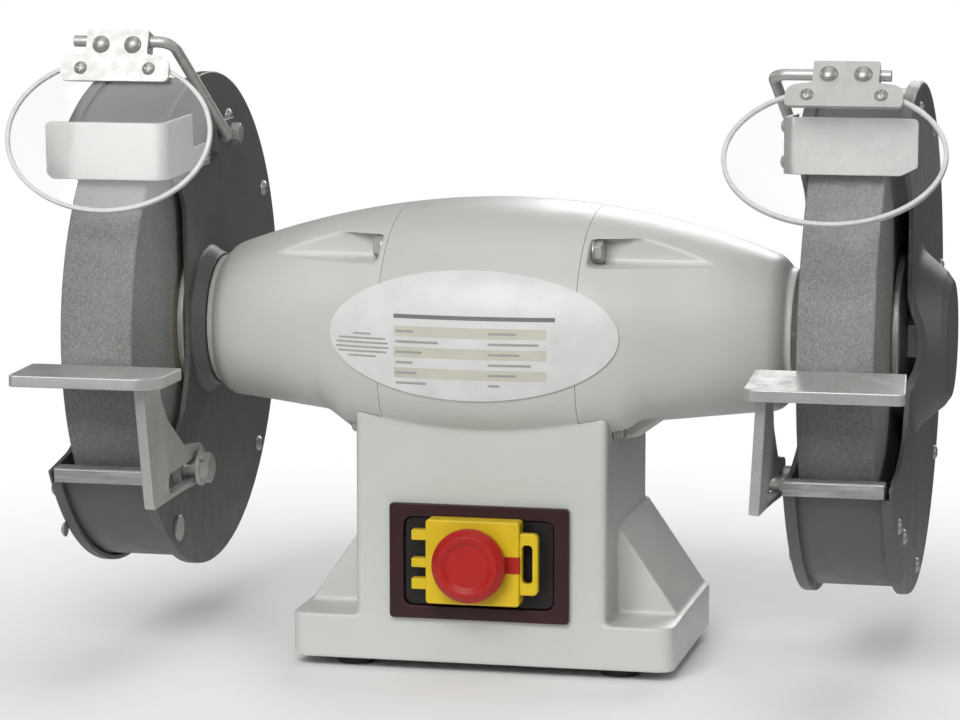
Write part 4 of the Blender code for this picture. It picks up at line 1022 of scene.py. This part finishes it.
def build_clamp(end, side, place):
    clamp_y, clamp_z = CLAMP
    outline = rectangle((clamp_y - 0.01, clamp_z - 0.009), (clamp_y + 0.026, clamp_z + 0.009), 0.004)
    block = slab(outline, "X", *spans(side, 0.164, PLATE_FACE - GAP))
    bore = cylinder("X", ROD_RADIUS + GAP, *spans(side, 0.16, 0.175), CLAMP)
    block = shaped(block, cuts=[bore], bevel=0.0006)
    add_skin(f"shield_clamp_{end}", block, "guard_paint", "stand", place)
    add_screw(f"shield_clamp_{end}_bolt", hexagon_head(0.006, 0.0, 0.0054),
        (side * 0.164, clamp_y + 0.019, clamp_z), (-side, 0.0, 0.0), "stand", place)


def build_shield(end, side):
    _, rod_y, rod_z = JOINTS[f"rod_swing_{end}"]["pos_m"]
    _, knee_y, knee_z = JOINTS[f"shield_tilt_{end}"]["pos_m"]
    reach = (knee_y - rod_y, knee_z - rod_z)
    start, elbow = (side * 0.1704, 0.0, 0.0), (side * ROD_PLANE, 0.0, 0.0)
    bend, tip = (side * ROD_PLANE, *reach), (side * ROD_TIP[end], *reach)
    path = bent([start, elbow, bend], 0.004)[:-1] + bent([elbow, bend, tip], 0.008)[1:]
    rod = shaped(tube(path, ROD_RADIUS), bevel=0.0004)
    add_skin(f"shield_rod_{end}", rod, "zinc", f"rod_{end}", ROD[end])

    place, body, middle = SHIELD[end], f"shield_{end}", side * BRACKET_MIDDLE[end]
    strap, bridge = 0.017, 0.03
    outline = rounded([
        (middle - strap, 0.005, 0.001), (middle + strap, 0.005, 0.001), (middle + strap, -0.0085, 0.001),
        (middle + bridge, -0.0105, 0.006), (middle + bridge, -0.0235, 0.003),
        (middle - bridge, -0.0235, 0.003), (middle - bridge, -0.0105, 0.006),
        (middle - strap, -0.0085, 0.001),
    ], 6)
    front = slab(outline, "Y", -0.0054, -0.0034)
    width = strap - 0.0003
    block = box((middle - width, -0.004, -0.008), (middle + width, 0.0054, 0.0049))
    channel = cylinder("X", ROD_RADIUS + GAP, middle - 0.03, middle + 0.03)
    bracket = shaped(front, joins=[block], cuts=[channel], bevel=0.0003)
    add_skin(f"shield_bracket_{end}", bracket, "zinc", body, place)
    for i, across in enumerate((-0.0088, 0.0088, -0.0189, 0.0189)):
        up, radius, height, recess = BRACKET_BOLT if i < 2 else BRACKET_SCREW
        add_screw(f"shield_bracket_{end}_screw_{i}", dome_head(radius, height, recess),
            (middle + across, -0.0053, up), (0.0, -1.0, 0.0), body, place)

    back = -0.0034 + GAP
    heart = (side * SHIELD_MIDDLE[end], -SHIELD_DROP)
    oval = ellipse(heart, *(semi - 0.001 for semi in SHIELD_SEMI_AXES), 160)
    lens = shaped(slab(oval, "Y", back + 0.0005, back + SHIELD_THICKNESS - 0.0005), bevel=0.0003)
    add_piece(f"eye_shield_{end}_pane", lens, "lens", body, place, f"eye_shield_{end}")
    # The pale opaque ring round the pane is a painted reflection of the clear edge's bright rim.
    outer = ellipse(heart, *SHIELD_SEMI_AXES, 160)
    inner = ellipse(heart, *(semi - 0.0024 for semi in SHIELD_SEMI_AXES), 160)
    edge = shaped(slab(outer, "Y", back, back + SHIELD_THICKNESS),
        cuts=[slab(inner, "Y", back - 0.01, back + 0.01)], bevel=0.0006)
    add_piece(f"eye_shield_{end}_edge", edge, "lens_edge_glint", body, place)


# ---- base and switch


def build_base():
    for side, across in ((-1, "left"), (1, "right")):
        for y, depth in ((-0.05, "front"), (0.045, "rear")):
            low, high = -CENTRE.z, PLINTH_BOTTOM - GAP
            profile = rounded([(low, 0.0, 0.0), (low, 0.01, 0.0006), (high, 0.012, 0.0006),
                (high, 0.0, 0.0)], 4)
            foot = turned(profile, segments=48, axis="Z")
            foot.transform(Matrix.Translation((side * 0.074, y, 0.0)))
            add_skin(f"foot_{depth}_{across}", foot, "rubber")
    nut = hexagon_head(0.012, 0.0, 0.0045)
    nut.transform(facing((GLAND[0], PEDESTAL_BACK + 0.0045, GLAND[1]), (0.0, 1.0, 0.0)))
    sleeve = cylinder("Y", 0.0085, 0.042, 0.07, GLAND)
    gland = shaped(sleeve, joins=[nut], cuts=[cylinder("Y", 0.0045, 0.03, 0.08, GLAND)], bevel=0.0004)
    add_skin("cable_gland", gland, "switch_black")


STOP_X, START_X, BUTTON_HEIGHT = -0.001, 0.0155, -0.1175
LID_HINGE_X, LID_HINGE_Y, LID_FRONT, LID_BACK = -0.032, -0.0765, -0.086, -0.0742
LID_BODY, LID_HALF_HEIGHT = (-0.0265, 0.025), 0.023


def soft_box(low, high, corner, top_corner):
    """A moulded box: corners rounded round the Y axis, then every edge of its front eased."""
    outline = rectangle((low[0], low[2]), (high[0], high[2]), corner, 6)
    return shaped(slab(outline, "Y", low[1], high[1]), bevel=top_corner)


def build_switch():
    high, face = SWITCH_HEIGHT, PEDESTAL_FRONT - GAP
    outer, window, front = (centred(half, high - tall, high + tall, radius) for (half, tall), radius in (
        (BEZEL_HALF, 0.002), (BEZEL_WINDOW, 0.005), ([half - 0.0005 for half in BEZEL_WINDOW], 0.0045)))
    bezel = slab(outer, "Y", face - 0.0035, face)
    bezel = shaped(bezel, cuts=[slab(window, "Y", -0.09, -0.05)], bevel=0.0007)
    add_skin("switch_bezel", bezel, "switch_maroon")
    body = slab(front, "Y", -0.0715, -0.03)
    buttons = ("start", START_X, 0.0065, "switch_green"), ("stop", STOP_X, 0.008, "switch_red")
    wells = [cylinder("Y", radius + 0.0004, -0.08, -0.056, (x, BUTTON_HEIGHT))
        for _, x, radius, _ in buttons]
    add_skin("switch_housing", shaped(body, cuts=wells, bevel=0.0005), "switch_black")
    for name, x, radius, colour in buttons:
        profile = rounded([(0.0, 0.0, 0.0), (0.0, radius, 0.0), (0.0162, radius, 0.0012),
            (0.0156, radius * 0.6, 0.002), (0.0154, 0.0, 0.0)], 5)
        button = turned(profile, segments=48, axis="Z")
        button.transform(facing((x, -0.06, BUTTON_HEIGHT), (0.0, -1.0, 0.0)))
        add_skin(f"{name}_button", button, colour, name)

    hinge = Matrix.Translation(JOINTS["lid_open"]["pos_m"])
    left, right = (x - LID_HINGE_X for x in LID_BODY)
    back, front = LID_BACK - LID_HINGE_Y, LID_FRONT - LID_HINGE_Y
    tall, wall, skin = LID_HALF_HEIGHT, 0.002, 0.0025
    shell = soft_box((left, front, -tall), (right, back, tall), 0.002, 0.001)
    hollow = box((left + wall, front + skin, wall - tall), (right - wall, back + 0.01, tall - wall))
    tabs = [soft_box((-0.0036, -0.0036, up - half), (left + 0.001, back, up + half), 0.0006, 0.0004)
        for up, half in ((0.0132, 0.0028), (-0.002, 0.0025), (-0.0135, 0.003))]
    loop_end = right + 0.0098
    loop = rectangle((right - 0.0018, -0.0168), (loop_end, 0.0168), 0.003)
    opening = rectangle((right + 0.0012, -0.0105), (loop_end - 0.003, 0.0105), 0.0022)
    loop = shaped(slab(loop, "Y", front + 0.002, front + 0.007),
        cuts=[slab(opening, "Y", front - 0.01, back + 0.02)], bevel=0.0008)
    stem_hole = cylinder("Y", 0.0066, -0.03, 0.03, (STOP_X - LID_HINGE_X, 0.0))
    lid = shaped(shell, joins=[*tabs, loop], cuts=[hollow, stem_hole])
    add_skin("switch_lid", lid, "switch_yellow", "lid", hinge)
    latch = soft_box((right - 0.01, front - 0.0004, -0.0048), (right + 0.0004, front + 0.0018, 0.0044),
        0.0008, 0.0003)
    add_piece("switch_lid_latch", latch, "switch_red", "lid", hinge)

    cap_back, edge = front - 0.003 - 0.0007, 0.02
    profile = rounded([
        (0.0, 0.0062, 0.0), (cap_back, 0.0062, 0.0), (cap_back, edge - 0.001, 0.0005),
        (cap_back - 0.0015, edge, 0.001), (cap_back - 0.006, edge, 0.002),
        (cap_back - 0.0095, edge - 0.0035, 0.0008), (cap_back - 0.0095, edge - 0.0058, 0.0012),
        (cap_back - 0.0078, edge - 0.0085, 0.002), (cap_back - 0.0075, 0.0, 0.0), (0.0, 0.0, 0.0),
    ], 5)
    mushroom = turned(profile, segments=96)
    stem = Matrix.Translation((STOP_X - LID_HINGE_X, 0.0, 0.0))
    mushroom.transform(stem @ Matrix.Rotation(math.radians(90), 4, "Z"))
    add_skin("stop_mushroom", mushroom, "switch_red", "mushroom", hinge)


# ---- assembly

build_casting()
build_nameplate()
build_base()
build_switch()
for end_name, end_side in ENDS.items():
    build_bell(end_name, end_side)
    build_wheel(end_name, end_side)
    build_guard(end_name, end_side, GUARD[end_name])
    build_rest(end_name, end_side, REST[end_name])
    build_arrester(end_name, end_side, GUARD[end_name])
    build_clamp(end_name, end_side, GUARD[end_name])
    build_shield(end_name, end_side)

# The motor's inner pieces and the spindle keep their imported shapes.
for row in frame["record"]["subparts"]:
    node = frame["nodes"][row["node"]]
    if not node.hide_render:
        node.data.materials.clear()
        node.data.materials.append(MATERIALS[row["material_slot"]])

# ---- floor and light


def add_floor():
    disc = bmesh.new()
    bmesh.ops.create_circle(disc, cap_ends=True, segments=128, radius=FLOOR_RADIUS)
    mesh = mesh_of(disc, "floor")
    mesh.materials.append(MATERIALS["floor"])
    add_object("floor", mesh)


def add_light(name, place, aim, size, power):
    light = bpy.data.lights.new(name, "AREA")
    light.shape = "RECTANGLE"
    light.size, light.size_y = size
    light.energy = power
    lamp = add_object(name, light)
    lamp.location = place
    lamp.rotation_euler = (Vector(aim) - Vector(place)).to_track_quat("-Z", "Y").to_euler()
    lamp.visible_camera = False


add_floor()
AIM = (0.0, 0.0, 0.18)
add_light("key", (-0.2, -2.4, 1.85), AIM, (1.9, 1.3), 61.0)
add_light("fill", (-0.9, -2.2, 0.5), AIM, (0.7, 0.6), 4.5)
add_light("top", (0.1, 0.1, 2.2), AIM, (1.8, 1.4), 8.0)
add_light("back", (0.3, 2.3, 1.2), AIM, (1.6, 1.0), 24.0)
add_light("side_right", (2.2, -0.2, 0.9), AIM, (1.0, 1.0), 8.0)
add_light("side_left", (-2.2, 0.5, 0.9), AIM, (1.0, 1.0), 6.0)

WORLD_LIGHT, WORLD_SEEN = 0.11, 1.0
world = bpy.data.worlds.new("studio")
world.use_nodes = True
nodes, links = world.node_tree.nodes, world.node_tree.links
nodes["Background"].inputs["Color"].default_value = (1.0, 1.0, 1.0, 1.0)
seen, either, strength = (nodes.new(f"ShaderNode{kind}") for kind in ("LightPath", "Math", "MapRange"))
either.operation = "MAXIMUM"
strength.inputs["To Min"].default_value, strength.inputs["To Max"].default_value = WORLD_LIGHT, WORLD_SEEN
links.new(seen.outputs["Is Camera Ray"], either.inputs[0])
links.new(seen.outputs["Is Transmission Ray"], either.inputs[1])
links.new(either.outputs["Value"], strength.inputs["Value"])
links.new(strength.outputs["Result"], nodes["Background"].inputs["Strength"])
bpy.context.scene.world = world
bpy.context.scene.view_settings.view_transform = "Standard"
